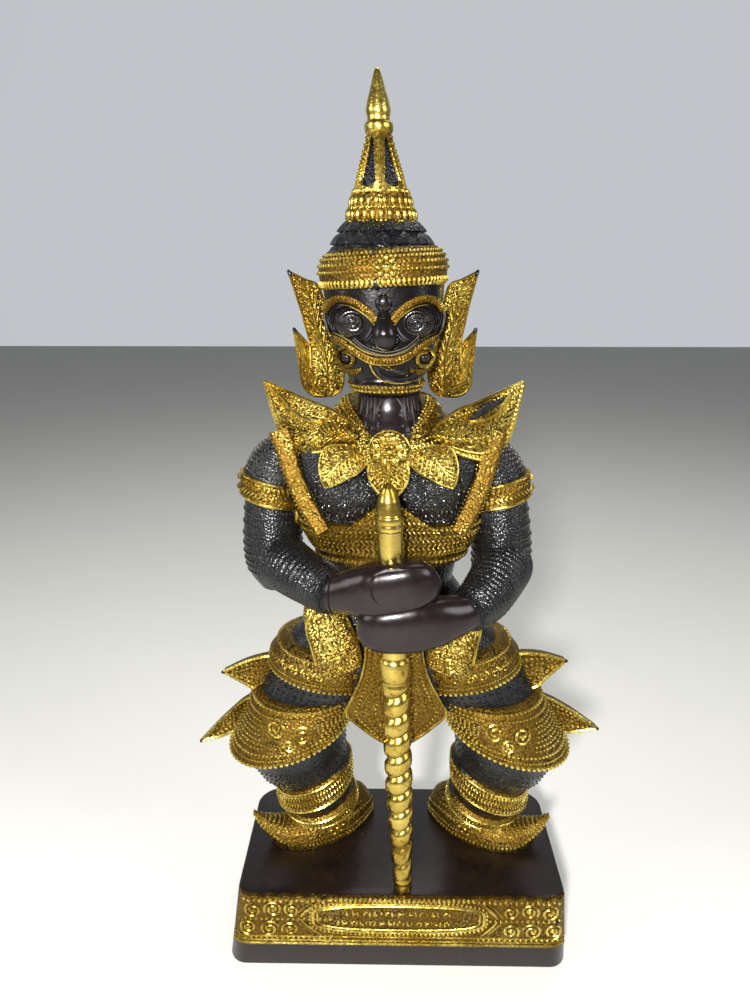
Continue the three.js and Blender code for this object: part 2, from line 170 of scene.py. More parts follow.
class Skin:
    """A closed tube through rings, each a centre and two half-width vectors. Angle 0 is its front."""

    def __init__(self, rings, power=2.0, smooth=False, relief=None):
        self.rings = rings
        self.power = power
        self.smooth = smooth
        self.relief = relief
        self.columns = [[ring[k] for ring in rings] for k in range(3)]

    def at(self, angle, t, lift=0.0):
        """The point at an angle and at share t along the rings, lifted off the surface."""
        centre, across, deep = (along(column, t, self.smooth) for column in self.columns)
        sine = math.sin(angle)
        cosine = math.cos(angle)
        power = self.power(t) if callable(self.power) else self.power
        size = 1.0
        if power != 2.0:
            size = (abs(sine) ** power + abs(cosine) ** power) ** (-1 / power)
        point = centre + across * (sine * size) + deep * (cosine * size)
        if self.relief is not None:
            lift += self.relief(angle, t, point)
        if lift:
            out = across * (sine * deep.length / max(across.length, 1e-6)) + deep * (cosine * across.length / max(deep.length, 1e-6))
            point += out.normalized() * lift
        return point

    def ring(self, t, lift=0.0, start=-180.0, stop=180.0, count=96):
        """A polyline round the skin at share t."""
        start, stop = math.radians(start), math.radians(stop)
        return [self.at(mix(start, stop, k / count), t, lift) for k in range(count + 1)]

    def share(self, row):
        """The share of the way to a ring's number."""
        return row / (len(self.rings) - 1)

    def form(self, sides, steps):
        """The skin as a closed mesh, with so many steps from ring to ring."""
        return tube(self.at, sides, steps * (len(self.rings) - 1))


def tube(place, sides, rows):
    """A closed tube: a grid that is bent round, joined along its seam and capped."""
    bm = bmesh.new()
    made = bmesh.ops.create_grid(bm, x_segments=sides, y_segments=rows, size=0.5)
    for vert in made["verts"]:
        vert.co = place((vert.co.x + 0.5) * TAU, min(1.0, max(0.0, vert.co.y + 0.5)))
    bmesh.ops.remove_doubles(bm, verts=bm.verts, dist=1e-4)
    bmesh.ops.holes_fill(bm, edges=[edge for edge in bm.edges if edge.is_boundary])
    return bm


def blade(edge_a, edge_b, thickness=3.0, dome=1.0, columns=40, rows=10):
    """A leaf between two edges that run from its root to its tip, crowned along the middle."""
    edge_a = [Vector(row) for row in edge_a]
    edge_b = [Vector(row) for row in edge_b]
    bm = bmesh.new()
    made = bmesh.ops.create_grid(bm, x_segments=columns, y_segments=rows, size=0.5)
    for vert in made["verts"]:
        u = vert.co.x + 0.5
        v = vert.co.y + 0.5
        vert.co = blade_point(edge_a, edge_b, u, v, dome)
    bmesh.ops.remove_doubles(bm, verts=bm.verts, dist=1e-3)
    back = bmesh.ops.extrude_face_region(bm, geom=bm.faces[:])
    shifted = [item for item in back["geom"] if isinstance(item, bmesh.types.BMVert)]
    for vert in shifted:
        vert.co.y += thickness
    return bm


def blade_point(edge_a, edge_b, u, v, dome, lift=0.0):
    u = min(1.0, max(0.0, u))
    a = along(edge_a, u)
    b = along(edge_b, u)
    point = a.lerp(b, v)
    rise = dome * math.sin(math.pi * v) * (1 - u ** 4)
    point.y -= rise + lift
    return point


def feathers(curves, dome, reach, step, spread=0.36, sweep=0.15, lift=0.15):
    """Curved barbs that leave a blade's middle on both sides, as lists of points."""
    barbs = []
    for side in (-1, 1):
        u = 0.06
        while u < reach:
            barb = []
            for n in range(9):
                t = n / 8
                barb.append(blade_point(*curves, u + sweep * t, 0.5 + side * (0.06 + spread * t ** 1.5), dome, lift))
            barbs.append(barb)
            u += step
    return barbs


def cord(points, radius, sides=6, taper=False, flat=1.0):
    """A thin raised line along points."""
    last = len(points) - 1
    ways = [(points[min(k + 1, last)] - points[max(k - 1, 0)]).normalized() for k in range(last + 1)]
    rings = []
    for k, point in enumerate(points):
        side = Vector((0, -1, 0)) if abs(ways[k].y) < 0.9 else Vector((0, 0, 1))
        deep = (side - ways[k] * side.dot(ways[k])).normalized()
        across = ways[k].cross(deep)
        size = radius * (max(0.15, math.sin(math.pi * (0.12 + 0.88 * k / last) ** 0.8)) if taper else 1.0)
        rings.append((point, across * size, deep * size * flat))
    return Skin(rings).form(sides, 1)


def bead(radius, finer=False):
    bm = bmesh.new()
    bmesh.ops.create_icosphere(bm, subdivisions=2 if finer else 1, radius=radius)
    return bm


class Piece:
    """Collects the forms of one piece in millimetres, then turns it into a finished object."""

    def __init__(self, name, slot, *finishes):
        self.name = name
        self.slot = slot
        self.finishes = list(finishes)
        self.bm = bmesh.new()

    def add(self, form, finish=0, mirror=False, move=0.0, paint=None, closed=True):
        """Adds a form, with a mirrored copy when asked, and moves both to one side."""
        for face in form.faces:
            face.material_index = finish if paint is None else paint(face.calc_center_median())
        if closed:
            bmesh.ops.recalc_face_normals(form, faces=form.faces)
        scrap = bpy.data.meshes.new("scrap")
        form.to_mesh(scrap)
        form.free()
        for turned in (False, True) if mirror else (False,):
            if turned:
                scrap.transform(Matrix.Scale(-1, 4, (1, 0, 0)))
                scrap.flip_normals()
            scrap.transform(Matrix.Translation((2 * move if turned else move, 0, 0)))
            self.bm.from_mesh(scrap)
        bpy.data.meshes.remove(scrap)
        return self

    def beads(self, spots, finish=0, finer=False, sink=0.25, mirror=False, move=0.0):
        """Adds a bead at each (point, radius) or (point, way, half sizes) spot, in batches."""
        for start in range(0, len(spots), 150):
            bm = bmesh.new()
            for spot in spots[start:start + 150]:
                if len(spot) == 2:
                    matrix = Matrix.Translation(spot[0]) @ Matrix.Scale(spot[1], 4)
                else:
                    matrix = bead_frame(*spot)
                bmesh.ops.create_icosphere(bm, subdivisions=2 if finer else 1, radius=1.0, matrix=matrix)
            self.add(bm, finish, mirror=mirror, move=move)
        return self

    def surface(self):
        return BVHTree.FromBMesh(self.bm)

    def finish(self, leaning=True, crease=38.0):
        if leaning:
            for vert in self.bm.verts:
                vert.co.x -= (vert.co.z - PLINTH_TOP) * LEAN
        bmesh.ops.scale(self.bm, vec=(MM, MM, MM), verts=self.bm.verts)
        limit = math.radians(crease)
        for edge in self.bm.edges:
            edge.smooth = edge.calc_face_angle(0.0) < limit
        for face in self.bm.faces:
            face.smooth = True
        mesh = bpy.data.meshes.new(self.name)
        self.bm.to_mesh(mesh)
        self.bm.free()
        obj = bpy.data.objects.new(self.name, mesh)
        bpy.context.scene.collection.objects.link(obj)
        for name in self.finishes:
            mesh.materials.append(FINISHES[name]())
        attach(obj, "root")
        return obj


def bead_frame(point, way, sizes):
    """A bead's matrix: its first half size lies along the way, the second across it, the third towards the front."""
    way = way.normalized()
    front = Vector((0, -1, 0))
    if abs(way.y) > 0.95:
        front = Vector((0, 0, 1))
    out = (front - way * front.dot(way)).normalized()
    across = out.cross(way)
    turn = Matrix((way * sizes[0], across * sizes[1], out * sizes[2])).transposed().to_4x4()
    turn.translation = point
    return turn


def on(surface, x, z, lift=0.0, start=-120.0):
    """The point of a surface that a straight line from the front meets at x and z."""
    hit, normal, _, _ = surface.ray_cast(Vector((x, start, z)), Vector((0, 1, 0)))
    if hit is None:
        return None
    if normal.y > 0:
        normal = -normal
    return hit + normal * lift


def laid(surface, rows, lift=0.0, count=32):
    """A smooth path of [x, z] rows laid on a surface."""
    flat = path([(x, 0.0, z) for x, z in rows], count)
    points = [on(surface, p.x, p.z, lift) for p in flat]
    return [p for p in points if p is not None]


def settled(surface, points, lift):
    """The points, each moved to the nearest place on a surface and lifted off it."""
    found = [surface.find_nearest(point) for point in points]
    return [spot + normal * lift for spot, normal, _, _ in found]


def beads_on(points, spacing, radius, closed=False):
    return [(spot, radius) for spot, _ in evenly(points, spacing, closed)]


def comb(points, spacing, sizes, slant=0.0, closed=False):
    """Short ridges across a path, like teeth. Sizes run along the ridge, across it and outwards."""
    spots = []
    for spot, way in evenly(points, spacing, closed):
        side = Vector((0, -1, 0)) if abs(way.y) < 0.9 else Vector((0, 0, 1))
        out = (side - way * side.dot(way)).normalized()
        ridge = Matrix.Rotation(math.radians(slant), 3, out) @ way.cross(out)
        spots.append((spot, ridge, sizes))
    return spots


def spiral(cx, cz, radius, turns, start, hand=1, inner=0.15, count=40):
    """Rows of [x, z] along a flat spiral that winds inwards."""
    rows = []
    for k in range(count + 1):
        t = k / count
        angle = math.radians(start) + hand * TAU * turns * t
        r = radius * mix(1.0, inner, t)
        rows.append((cx + r * math.cos(angle), cz + r * math.sin(angle)))
    return rows


# Finishes


class Value:
    """A shader socket in an expression: each operator adds a Math node."""

    def __init__(self, finish, socket):
        self.finish = finish
        self.socket = socket

    def math(self, operation, first, second):
        return self.finish.node("ShaderNodeMath", {"operation": operation}, {0: first, 1: second})

    def __add__(self, other):
        return self.math("ADD", self, other)

    __radd__ = __add__

    def __sub__(self, other):
        return self.math("SUBTRACT", self, other)

    def __rsub__(self, other):
        return self.math("SUBTRACT", other, self)

    def __mul__(self, other):
        return self.math("MULTIPLY", self, other)

    __rmul__ = __mul__

    def __pow__(self, other):
        return self.math("POWER", self, other)


class Finish:
    """One material and its nodes."""

    def __init__(self, name, **constants):
        self.material = bpy.data.materials.new(name)
        self.material.use_nodes = True
        self.tree = self.material.node_tree
        self.shader = self.tree.nodes["Principled BSDF"]
        for key, value in constants.items():
            self.shader.inputs[key.replace("_", " ")].default_value = value
        self.place = self.node("ShaderNodeTexCoord", output="Object")

    def node(self, kind, settings=None, sockets=None, output=0):
        """A new node: its settings first, then the values or links of its sockets."""
        node = self.tree.nodes.new(kind)
        for key, value in (settings or {}).items():
            if key == "stops":
                fill_ramp(node.color_ramp, value)
            else:
                setattr(node, key, value)
        for key, value in (sockets or {}).items():
            if isinstance(value, Value):
                self.tree.links.new(value.socket, node.inputs[key])
            else:
                node.inputs[key].default_value = value
        return Value(self, node.outputs[output])

    def noise(self, size, detail=3.0, rough=0.55, stretch=None):
        """Noise from 0 to 1 with features of a size in millimetres."""
        place = self.place
        if stretch is not None:
            place = self.node("ShaderNodeMapping", None, {"Vector": place, "Scale": stretch})
        return self.node("ShaderNodeTexNoise", None, {
            "Vector": place, "Scale": 1 / (size * MM), "Detail": detail, "Roughness": rough,
        }, "Fac")

    def cells(self, size, spread=1.0):
        """Distance from the centre of each cell, 0 at the centre; cells have a size in millimetres."""
        return self.node("ShaderNodeTexVoronoi", None, {
            "Vector": self.place, "Scale": 1 / (size * MM), "Randomness": spread,
        }, "Distance")

    def between(self, value, low, high):
        """0 below low, 1 above high and smooth in between."""
        return self.node("ShaderNodeMapRange", {"interpolation_type": "SMOOTHSTEP"}, {
            "Value": value, "From Min": low, "From Max": high,
        }, "Result")

    def blend(self, factor, first, second):
        """A colour between two."""
        node = self.tree.nodes.new("ShaderNodeMix")
        node.data_type = "RGBA"
        sockets = [s for s in node.inputs if s.enabled]
        for socket, value in zip(sockets, (factor, first, second)):
            if isinstance(value, Value):
                self.tree.links.new(value.socket, socket)
            else:
                socket.default_value = value if isinstance(value, (int, float)) else (*value, 1.0)[:4]
        return Value(self, [s for s in node.outputs if s.enabled][0])

    def bump(self, height, distance, strength=1.0):
        """Feeds a height into the surface normal; the distance is in millimetres."""
        bump = self.node("ShaderNodeBump", None, {
            "Height": height, "Distance": distance * MM, "Strength": strength,
        })
        self.tree.links.new(bump.socket, self.shader.inputs["Normal"])

    def set(self, **values):
        for key, value in values.items():
            self.tree.links.new(value.socket, self.shader.inputs[key.replace("_", " ")])
        return self.material


def fill_ramp(ramp, stops):
    """Gives a colour ramp its stops, each a place and a colour."""
    while len(ramp.elements) > 1:
        ramp.elements.remove(ramp.elements[-1])
    for k, (where, colour) in enumerate(stops):
        element = ramp.elements[0] if k == 0 else ramp.elements.new(where)
        element.position = where
        element.color = (*colour, 1.0)


def colours():
    return bpy.context.scene.statue_colours


def gilding_finish(name, grain, depth, recess, rough, wear=0.5, tarnish_and_shade=0.0):
    """Worn gilding: bright on the rises, brown in the hollows, with grain of a size in millimetres."""
    finish = Finish(name, Metallic=1.0)
    broad = finish.noise(16.0, 2.0)
    fine = finish.noise(2.4, 3.0)
    grit = finish.noise(0.7, 2.0)
    cells = finish.cells(grain)
    hollow = finish.between(cells, 0.3, 0.62) * recess
    stain = finish.between(fine * 0.6 + broad * 0.4, wear, wear + 0.16) * 0.85
    # Here the gold tones are darkened towards the stain colour: real tarnish on the club's brass, painted shade on the
    # gilded ground that lies beneath the beads.
    pale, deep = (tuple(mix(a, b, tarnish_and_shade) for a, b in zip(gold, colours().gold_stain_and_shade))
                  for gold in (colours().gold_pale, colours().gold_deep))
    tone = finish.blend(finish.between(broad, 0.35, 0.65), pale, deep)
    dirty = finish.blend(hollow, tone, colours().gold_brown)
    colour = finish.blend(stain, dirty, colours().gold_stain_and_shade)
    roughness = rough + fine * 0.16 + stain * 0.2
    height = (1 - cells) * 0.8 + grit * 0.35 + fine * 0.3
    finish.bump(height, depth)
    return finish.set(Base_Color=colour, Roughness=roughness)


def dark_finish(name, base, dust, grain, depth, rough, dusting, metallic=0.3):
    """Dark patinated metal with pale dust lying in patches and in the hollows of its grain."""
    finish = Finish(name, Metallic=metallic)
    broad = finish.noise(22.0, 3.0)
    fine = finish.noise(3.2, 3.0)
    cells = finish.cells(grain)
    patch = finish.between(broad, 0.62 - dusting, 0.92 - dusting)
    lying = patch * finish.between(fine * 0.5 + cells * 0.5, 0.25, 0.65)
    warm = finish.blend(finish.between(fine, 0.35, 0.7), base, [c * 1.5 for c in base])
    colour = finish.blend(lying, warm, dust)
    roughness = rough + lying * 0.35 + fine * 0.1
    finish.bump((1 - cells) * 0.8 + finish.noise(0.8, 2.0) * 0.3, depth)
    return finish.set(Base_Color=colour, Roughness=roughness)


def once(make):
    """Makes a finish the first time it is asked for."""
    made = {}

    def give():
        if "finish" not in made:
            made["finish"] = make()
        return made["finish"]

    return give


FINISHES = {
    "gilding": once(lambda: gilding_finish("gilding", 1.4, 0.10, 0.3, 0.2, 0.52)),
    "granular": once(lambda: gilding_finish("granular_gilding", 0.95, 0.5, 0.95, 0.22, 0.46, 0.2)),
    # The ground beneath the beads is darkened far towards the stain colour: painted shade between the beads.
    "ground": once(lambda: gilding_finish("gilded_ground_painted_shade", 1.25, 0.4, 0.95, 0.28, 0.4, 0.8)),
    "cloth": once(lambda: dark_finish("dark_cloth", colours().cloth, colours().dust, 1.1, 0.35, 0.2, 0.10)),
    "studs": once(lambda: dark_finish("dark_studs", colours().studs, colours().dust, 1.6, 0.1, 0.14, 0.05, 1.0)),
    "skin": once(lambda: dark_finish("dark_skin", colours().skin, colours().dust, 2.2, 0.03, 0.2, 0.02)),
    "face": once(lambda: dark_finish("dark_face", colours().face, colours().dust, 1.2, 0.05, 0.18, 0.03)),
    "chest": once(lambda: dark_finish("etched_chest", colours().cloth, colours().dust, 0.9, 0.6, 0.16, 0.08)),
    "base": once(lambda: dark_finish("plinth_patina", colours().base, colours().base_dust, 2.6, 0.02, 0.24, 0.0, 0.2)),
    "brass": once(lambda: gilding_finish("club_brass", 3.0, 0.03, 0.0, 0.18, 0.5, 0.35)),
}


# Crown


def build_crown():
    piece = Piece("crown", "gilding", "gilding", "ground", "cloth")
    gold, ground, dark = 0, 1, 2
    finial = [
        (372.0, 4.3), (373.0, 4.4), (373.6, 5.3), (375.4, 5.7), (377.0, 5.5), (377.6, 4.6), (379.4, 4.5), (381.4, 4.9), (385.0, 4.2),
        (389.0, 3.0), (393.0, 1.9), (395.6, 1.0), (396.4, 0.2),
    ]
    piece.add(Skin([level(z, r) for z, r in finial], smooth=True).form(36, 3), gold)

    def in_recess(point):
        angle = math.degrees(math.atan2(point.x, -point.y))
        share = (point.z - 353.4) / 18.6
        if not 0.0 < share < 1.0:
            return 0.0
        half = mix(19.5, 8.0, share) * min(1.0, math.sqrt(share / 0.12)) * min(1.0, (1 - share) / 0.12)
        off = abs((angle % 60.0) - 30.0)
        return smoothstep(1.15, 0.85, off / max(half, 0.1))

    cone = Skin([level(351.0, 11.2), level(356.0, 10.2), level(360.0, 9.0), level(366.0, 7.1), level(374.5, 4.4)],
                smooth=True, relief=lambda angle, t, point: -1.9 * in_recess(point))
    piece.add(cone.form(300, 22), gold, paint=lambda p: dark if in_recess(p) > 0.5 else gold)
    spots = []
    for k in range(6):
        angle = k * TAU / 6
        for n in range(14):
            t = mix(0.12, 0.97, n / 13)
            spots.append((cone.at(angle, t, 0.15), 0.85))
    piece.beads(spots, gold)

    base = Skin([level(340.5, 13.4), level(342.4, 13.6), level(345.6, 13.2), level(346.2, 12.4), level(350.6, 11.6),
                 level(353.0, 10.4)])
    piece.add(base.form(64, 2), ground)
    drops = []
    for count, t, sizes, turn in [(26, 0.26, (2.9, 1.1, 1.5), 0), (24, 0.70, (2.6, 1.0, 1.4), 7), (20, 0.93, (1.6, 0.8, 1.1), 0),
                                  (44, 0.44, (0.7, 0.7, 0.7), 4), (44, 0.53, (0.6, 0.8, 0.7), 0), (48, 0.03, (0.8, 0.8, 0.8), 0)]:
        for k in range(count):
            angle = TAU * k / count + math.radians(turn)
            drops.append((base.at(angle, t, 0.1), base.at(angle, min(1, t + 0.05)) - base.at(angle, t), sizes))
    piece.beads(drops, gold, True)

    def petals(angle, t, point):
        row, height = divmod(min((point.z - 327.0) / 4.9, 2.99), 1.0)
        lobe = abs(((angle * 12 / TAU + 0.5 * row) % 1.0) * 2 - 1)
        body = max(0.0, 1 - lobe ** 2 - max(0.0, height) ** 2)
        rib = 0.5 * smoothstep(0.16, 0.0, lobe) * min(1.0, body * 3)
        return 1.7 * math.sqrt(body) - 0.7 + rib

    cap = Skin([level(327.0, 21.8), level(331.9, 20.2), level(336.8, 17.6), level(341.7, 13.9)], relief=petals)
    piece.add(cap.form(240, 13), dark)

    def slope(point):
        point.z += 0.05 * point.x
        return point

    band = Skin([level(316.4, 24.6), level(317.6, 25.9), level(323.4, 26.5), level(327.6, 25.0), level(330.8, 22.2)], power=2.3)
    form = band.form(96, 3)
    for vert in form.verts:
        slope(vert.co)
    piece.add(form, ground)
    rows = []
    for z_share, radius, spacing in [(0.07, 0.95, 1.9), (0.46, 0.85, 1.8), (0.60, 1.0, 2.1), (0.735, 0.8, 1.7), (0.86, 0.8, 1.7)]:
        ring = [slope(p) for p in band.ring(z_share, 0.1)]
        rows += beads_on(ring, spacing, radius, True)
    piece.beads(rows, gold)
    teeth = []
    for spot, way in evenly([slope(p) for p in band.ring(0.27, 0.1)], 2.0, True):
        teeth.append((spot, Vector((0, 0, 1)), (1.5, 0.72, 0.9)))
    piece.beads(teeth, gold)
    centre = Vector((1.4, -27.6, 323.6))
    flower = [(centre, 1.9)]
    for k in range(8):
        angle = k * TAU / 8
        way = Vector((math.cos(angle), 0, math.sin(angle)))
        flower.append((centre + way * 3.1 + Vector((0, 0.5 + 0.9 * max(0.0, way.z), 0)), way, (1.6, 1.1, 1.1)))
    piece.beads(flower, gold, True)
    piece.beads([(Vector((-3.1, -23.9, 329.4)), Vector((0, 0.8, 1)), (2.0, 0.8, 0.9)),
                 (Vector((-2.6, -25.6, 317.6)), Vector((0, 0, 1)), (2.2, 1.5, 1.2))], dark, True)
    piece.finish()


# Head


def build_head():
    piece = Piece("head", "dark_bronze", "face", "gilding", "ground", "studs")
    dark, gold, ground, bright = 0, 1, 2, 3
    skull = Skin([
        level(273.6, 11.6, 15.6, -5), level(275.4, 14.2, 18.2, -5), level(278, 16.0, 19.2, -4.6), level(280, 15.6, 18.4, -4.2),
        level(287, 20.0, 20.4, -2.5), level(294, 22.6, 21.8, -1.5), level(304, 24.0, 22.8, -1), level(318, 25.0, 23.6, 0),
    ], power=2.5)
    piece.add(skull.form(96, 5), dark, paint=lambda p: ground if 274.2 < p.z < 278.4 else dark)
    surface = piece.surface()
    piece.beads(beads_on(skull.ring(0.17, 0.1, -125, 125), 1.9, 0.8), gold)
    piece.beads(beads_on(skull.ring(0.27, 0.1, -115, 115), 1.7, 0.6), gold)

    def eye(angle, t):
        wave = 0.16 * math.cos(TAU * t * 4.2) * smoothstep(0.05, 0.2, t)
        dome = 5.6 * math.sqrt(max(0.0, 1 - t * t)) + wave
        x, z = 7.4 * t * math.cos(angle), 6.6 * t * math.sin(angle)
        turn = math.radians(12)
        return Vector((EYE_X + x * math.cos(turn) - z * math.sin(turn), -19.0 - dome, EYE_Z - 0.6 + x * math.sin(turn) + z * math.cos(turn)))

    piece.add(tube(eye, 64, 40), dark, mirror=True)
    dots = [(eye(0.0, 0.0), 0.8)]
    for share, count, radius in [(0.22, 9, 0.34), (0.36, 14, 0.3), (0.5, 20, 0.34), (0.66, 26, 0.3), (0.82, 32, 0.3)]:
        dots += [(eye(TAU * k / count, share), radius) for k in range(count)]
    piece.beads(dots, bright, mirror=True)
    for share, radius in [(1.06, 0.7), (1.22, 0.5)]:
        centre = eye(0, 0)
        lid = [eye(TAU * k / 48, 0.999) for k in range(49)]
        lid = [Vector((mix(centre.x, p.x, share), p.y + 0.4, mix(centre.z, p.z, share))) for p in lid]
        lid = [on(surface, p.x, p.z, 0.2) or p for p in lid]
        piece.add(cord(lid, radius), dark, mirror=True)

    brow_rows = [(3.2, 303.6), (5.6, 306.8), (8.8, 309.4), (12.6, 311.3), (16.6, 311.9), (20.2, 310.2), (22.6, 306.8)]
    brow = laid(surface, brow_rows, 1.2)
    piece.add(cord(brow, 1.5, 8, flat=0.5), ground, mirror=True)
    piece.beads(comb(brow, 1.15, (1.9, 0.36, 1.3)), gold, mirror=True)
    rim = laid(surface, [(x, z - 1.9 - 0.02 * x) for x, z in brow_rows[:5]], 1.6)
    piece.add(cord(rim, 0.5, taper=True), gold, mirror=True)

    # Frown above the nose, then the nose
    piece.beads([(on(surface, 0, 310.2, 0.2), Vector((0, 0, 1)), (3.6, 3.4, 1.5))], dark, True)
    scratches = []
    for k in range(13):
        x = 2.4 * math.sin(k * 2.4)
        z = 310.4 + 2.6 * math.cos(k * 1.9)
        scratches.append((Vector((x, -25.0 + 0.1 * x * x + 0.04 * (z - 310.2) ** 2, z)), Vector((0.5 * math.sin(k), 0, 1)), (0.9, 0.28, 0.4)))
    piece.beads(scratches, bright)
    piece.add(Skin(limb([[0, -22, 307, 2.0, 2.0], [0, -23.8, 304.8, 2.8, 2.6], [0, -25.2, 301.8, 4.0, 3.6], [0, -25.6, 298.6, 4.9, 4.6],
                         [0, -24.8, 295.2, 4.2, 3.8], [0, -23.4, 293.4, 2.2, 2.0]], (-1, 0, 0)), smooth=True).form(32, 6), dark)
    piece.beads([(Vector((side * 4.0, -24.0, 296.4)), Vector((1, 0, 0)), (2.1, 1.9, 2.3)) for side in (-1, 1)], dark, True)
    piece.beads([(Vector((0, -27.4, 304.8 - 1.5 * k)), Vector((1, 0, 0)), (1.5 + 0.3 * k, 0.25, 0.4)) for k in range(2)], bright)
    for k in range(3):
        arc = laid(surface, [(-11.4 - 0.6 * k, 297.4 - 0.9 * k), (-7.2, 293.9 - 1.1 * k), (0.2, 292.0 - 1.15 * k),
                             (7.4, 293.7 - 1.1 * k), (12.6 + 0.6 * k, 297.8 - 0.9 * k)], 1.3 - 0.2 * k)
        piece.add(cord(arc, 0.42), bright if k < 2 else dark)

    lip = [(0.4, 288.4), (5.0, 288.9), (9.2, 290.6), (13.0, 293.2), (16.6, 295.4), (20.4, 296.6)]
    moustache = laid(surface, [(-x, z) for x, z in reversed(lip[1:])] + lip, 1.0, 90)
    piece.add(cord(moustache, 1.3, 8, flat=0.5), ground)
    piece.beads(comb(moustache, 1.25, (1.7, 0.38, 1.2)), gold)
    for lift, radius in [(2.1, 0.42), (-1.7, 0.38)]:
        edge = laid(surface, [(-x * 0.97, z + lift) for x, z in reversed(lip[1:])] + [(x * 0.97, z + lift) for x, z in lip], 1.0, 80)
        piece.add(cord(edge, radius, taper=True), gold)
    side_rim = laid(surface, [(20.6, 296.8), (22.8, 300.6), (23.6, 304.6), (22.8, 308.0)], 0.8)
    piece.add(cord(side_rim, 0.5, taper=True), gold, mirror=True)

    for side in (-1, 1):
        curl = laid(surface, spiral(15.0 * side, 289.0, 4.3, 1.1, 100 if side > 0 else 80, -side, 0.5), 1.0, 40)
        piece.add(cord(curl, 0.75, 6), gold if side > 0 else ground)
        piece.beads(comb(curl[18:], 1.4, (1.1, 0.36, 1.0)), gold)
    piece.beads([(on(surface, x, 289.2, 0.3), 2.2) for x in (-15.0, 15.0)], dark, True)
    whisker = laid(surface, [(9.6, 284.4), (12.6, 283.6), (16.0, 284.2), (18.8, 287.2), (20.4, 292.4)], 0.5)
    piece.add(cord(whisker, 1.3, 8, taper=True, flat=0.6), ground, mirror=True)
    piece.beads(comb(whisker, 1.3, (1.5, 0.38, 0.9)), gold, mirror=True)

    mouth = laid(surface, [(-6.2, 287.0), (-4.6, 283.6), (-1.4, 280.6), (3.0, 279.2), (9.0, 279.4), (14.0, 281.4), (17.4, 284.4)], 0.7, 50)
    piece.add(cord(mouth, 0.42, taper=True), gold)
    inner = laid(surface, [(-4.4, 286.0), (-1.4, 282.8), (3.0, 281.4), (8.6, 281.8), (11.6, 284.0)], 0.9)
    piece.add(cord(inner, 0.7), dark)
    glints = []
    for k in range(30):
        x = mix(-2.6, 10.4, (k * 0.618) % 1.0)
        z = mix(282.4, 286.4, (k * 0.381) % 1.0)
        glints.append((on(surface, x, z, 0.3), Vector((0.6 * math.sin(k * 1.7), 0, 1)), (0.75, 0.3, 0.45)))
    piece.beads(glints, bright)
    piece.beads([(on(surface, x, z, 0.6), 0.62) for x, z in [(1.4, 285.8), (2.4, 285.0), (0.6, 284.8), (-1.0, 282.6), (8.2, 282.0)]], gold)
    for rows, radius in [([(25.0, -8.4, 309), (26.0, -9, 304), (24.8, -11, 299.4), (21.0, -15, 295.8)], 1.1),
                         ([(23.4, -12.4, 308.6), (24.6, -13, 303.6), (23.0, -14.6, 299.2)], 0.7)]:
        piece.add(cord(settled(surface, path(rows, 24), radius * 0.5), radius, taper=True), dark, mirror=True)
    piece.finish()


def build_ears():
    """Flame ornaments beside the head, with flowing veins."""
    piece = Piece("ear_flames", "gilding", "granular", "gilding", "cloth")
    inner = [(25, -1, 270.6), (20.4, -1, 272.6), (18.2, -1, 278), (18.6, -1, 285), (20.6, -1, 292), (23.4, 0, 300), (25.0, 1, 309),
             (27.4, 1, 316.4), (32.4, 1, 318.6), (39.0, 1.4, 321.8)]
    outer = [(25, -1, 270.6), (29, -1.4, 274), (31.4, -1.6, 281), (31.4, -1, 288), (32.0, 0, 295), (33.4, 0.6, 301), (34.8, 1, 307),
             (36.2, 1.2, 312), (37.6, 1.2, 317), (39.0, 1.4, 321.8)]
    low_in = [(24, 0.6, 270.6), (26.4, 0.6, 276), (28.6, 0.6, 283), (31.4, 0.6, 290), (34.0, 1, 294), (38.4, 1.4, 298.6)]
    low_out = [(24, 0.6, 270.6), (31.4, 0.6, 270.8), (35.6, 0.6, 275), (36.8, 0.6, 284), (37.4, 0.8, 291), (38.4, 1.4, 298.6)]
    for edges, dome, veins in [((inner, outer), 2.2, 0.13), ((low_in, low_out), 1.8, 0.2)]:
        piece.add(blade(*edges, thickness=3.6, dome=dome, columns=60, rows=12), 0, mirror=True)
        curves = [[Vector(row) for row in edge] for edge in edges]
        for v, reach, radius in [(0.0, 0.985, 0.6), (1.0, 0.985, 0.6), (0.5, 0.95, 0.5)]:
            line = [blade_point(*curves, mix(0.03, reach, n / 44), v, dome, 0.15) for n in range(45)]
            piece.add(cord(line, radius, 5), 1, mirror=True)
        for barb in feathers(curves, dome, 0.84, 0.062, 0.38, veins):
            piece.add(cord(barb, 0.5, 5, taper=True), 1, mirror=True)
    curl = laid(piece.surface(), spiral(27.0, 277.0, 3.8, 1.6, 250, 1, 0.15), 0.3, 50)
    piece.add(cord(curl, 0.55, 5), 1, mirror=True)
    for x, z in [(38.6, 321.2), (37.9, 297.9)]:
        piece.beads([(Vector((x, 1.2, z)), Vector((0.5, 0, 1)), (1.7, 0.9, 1.2))], 2, True, mirror=True)
    piece.finish()


# Neck, trunk and collar


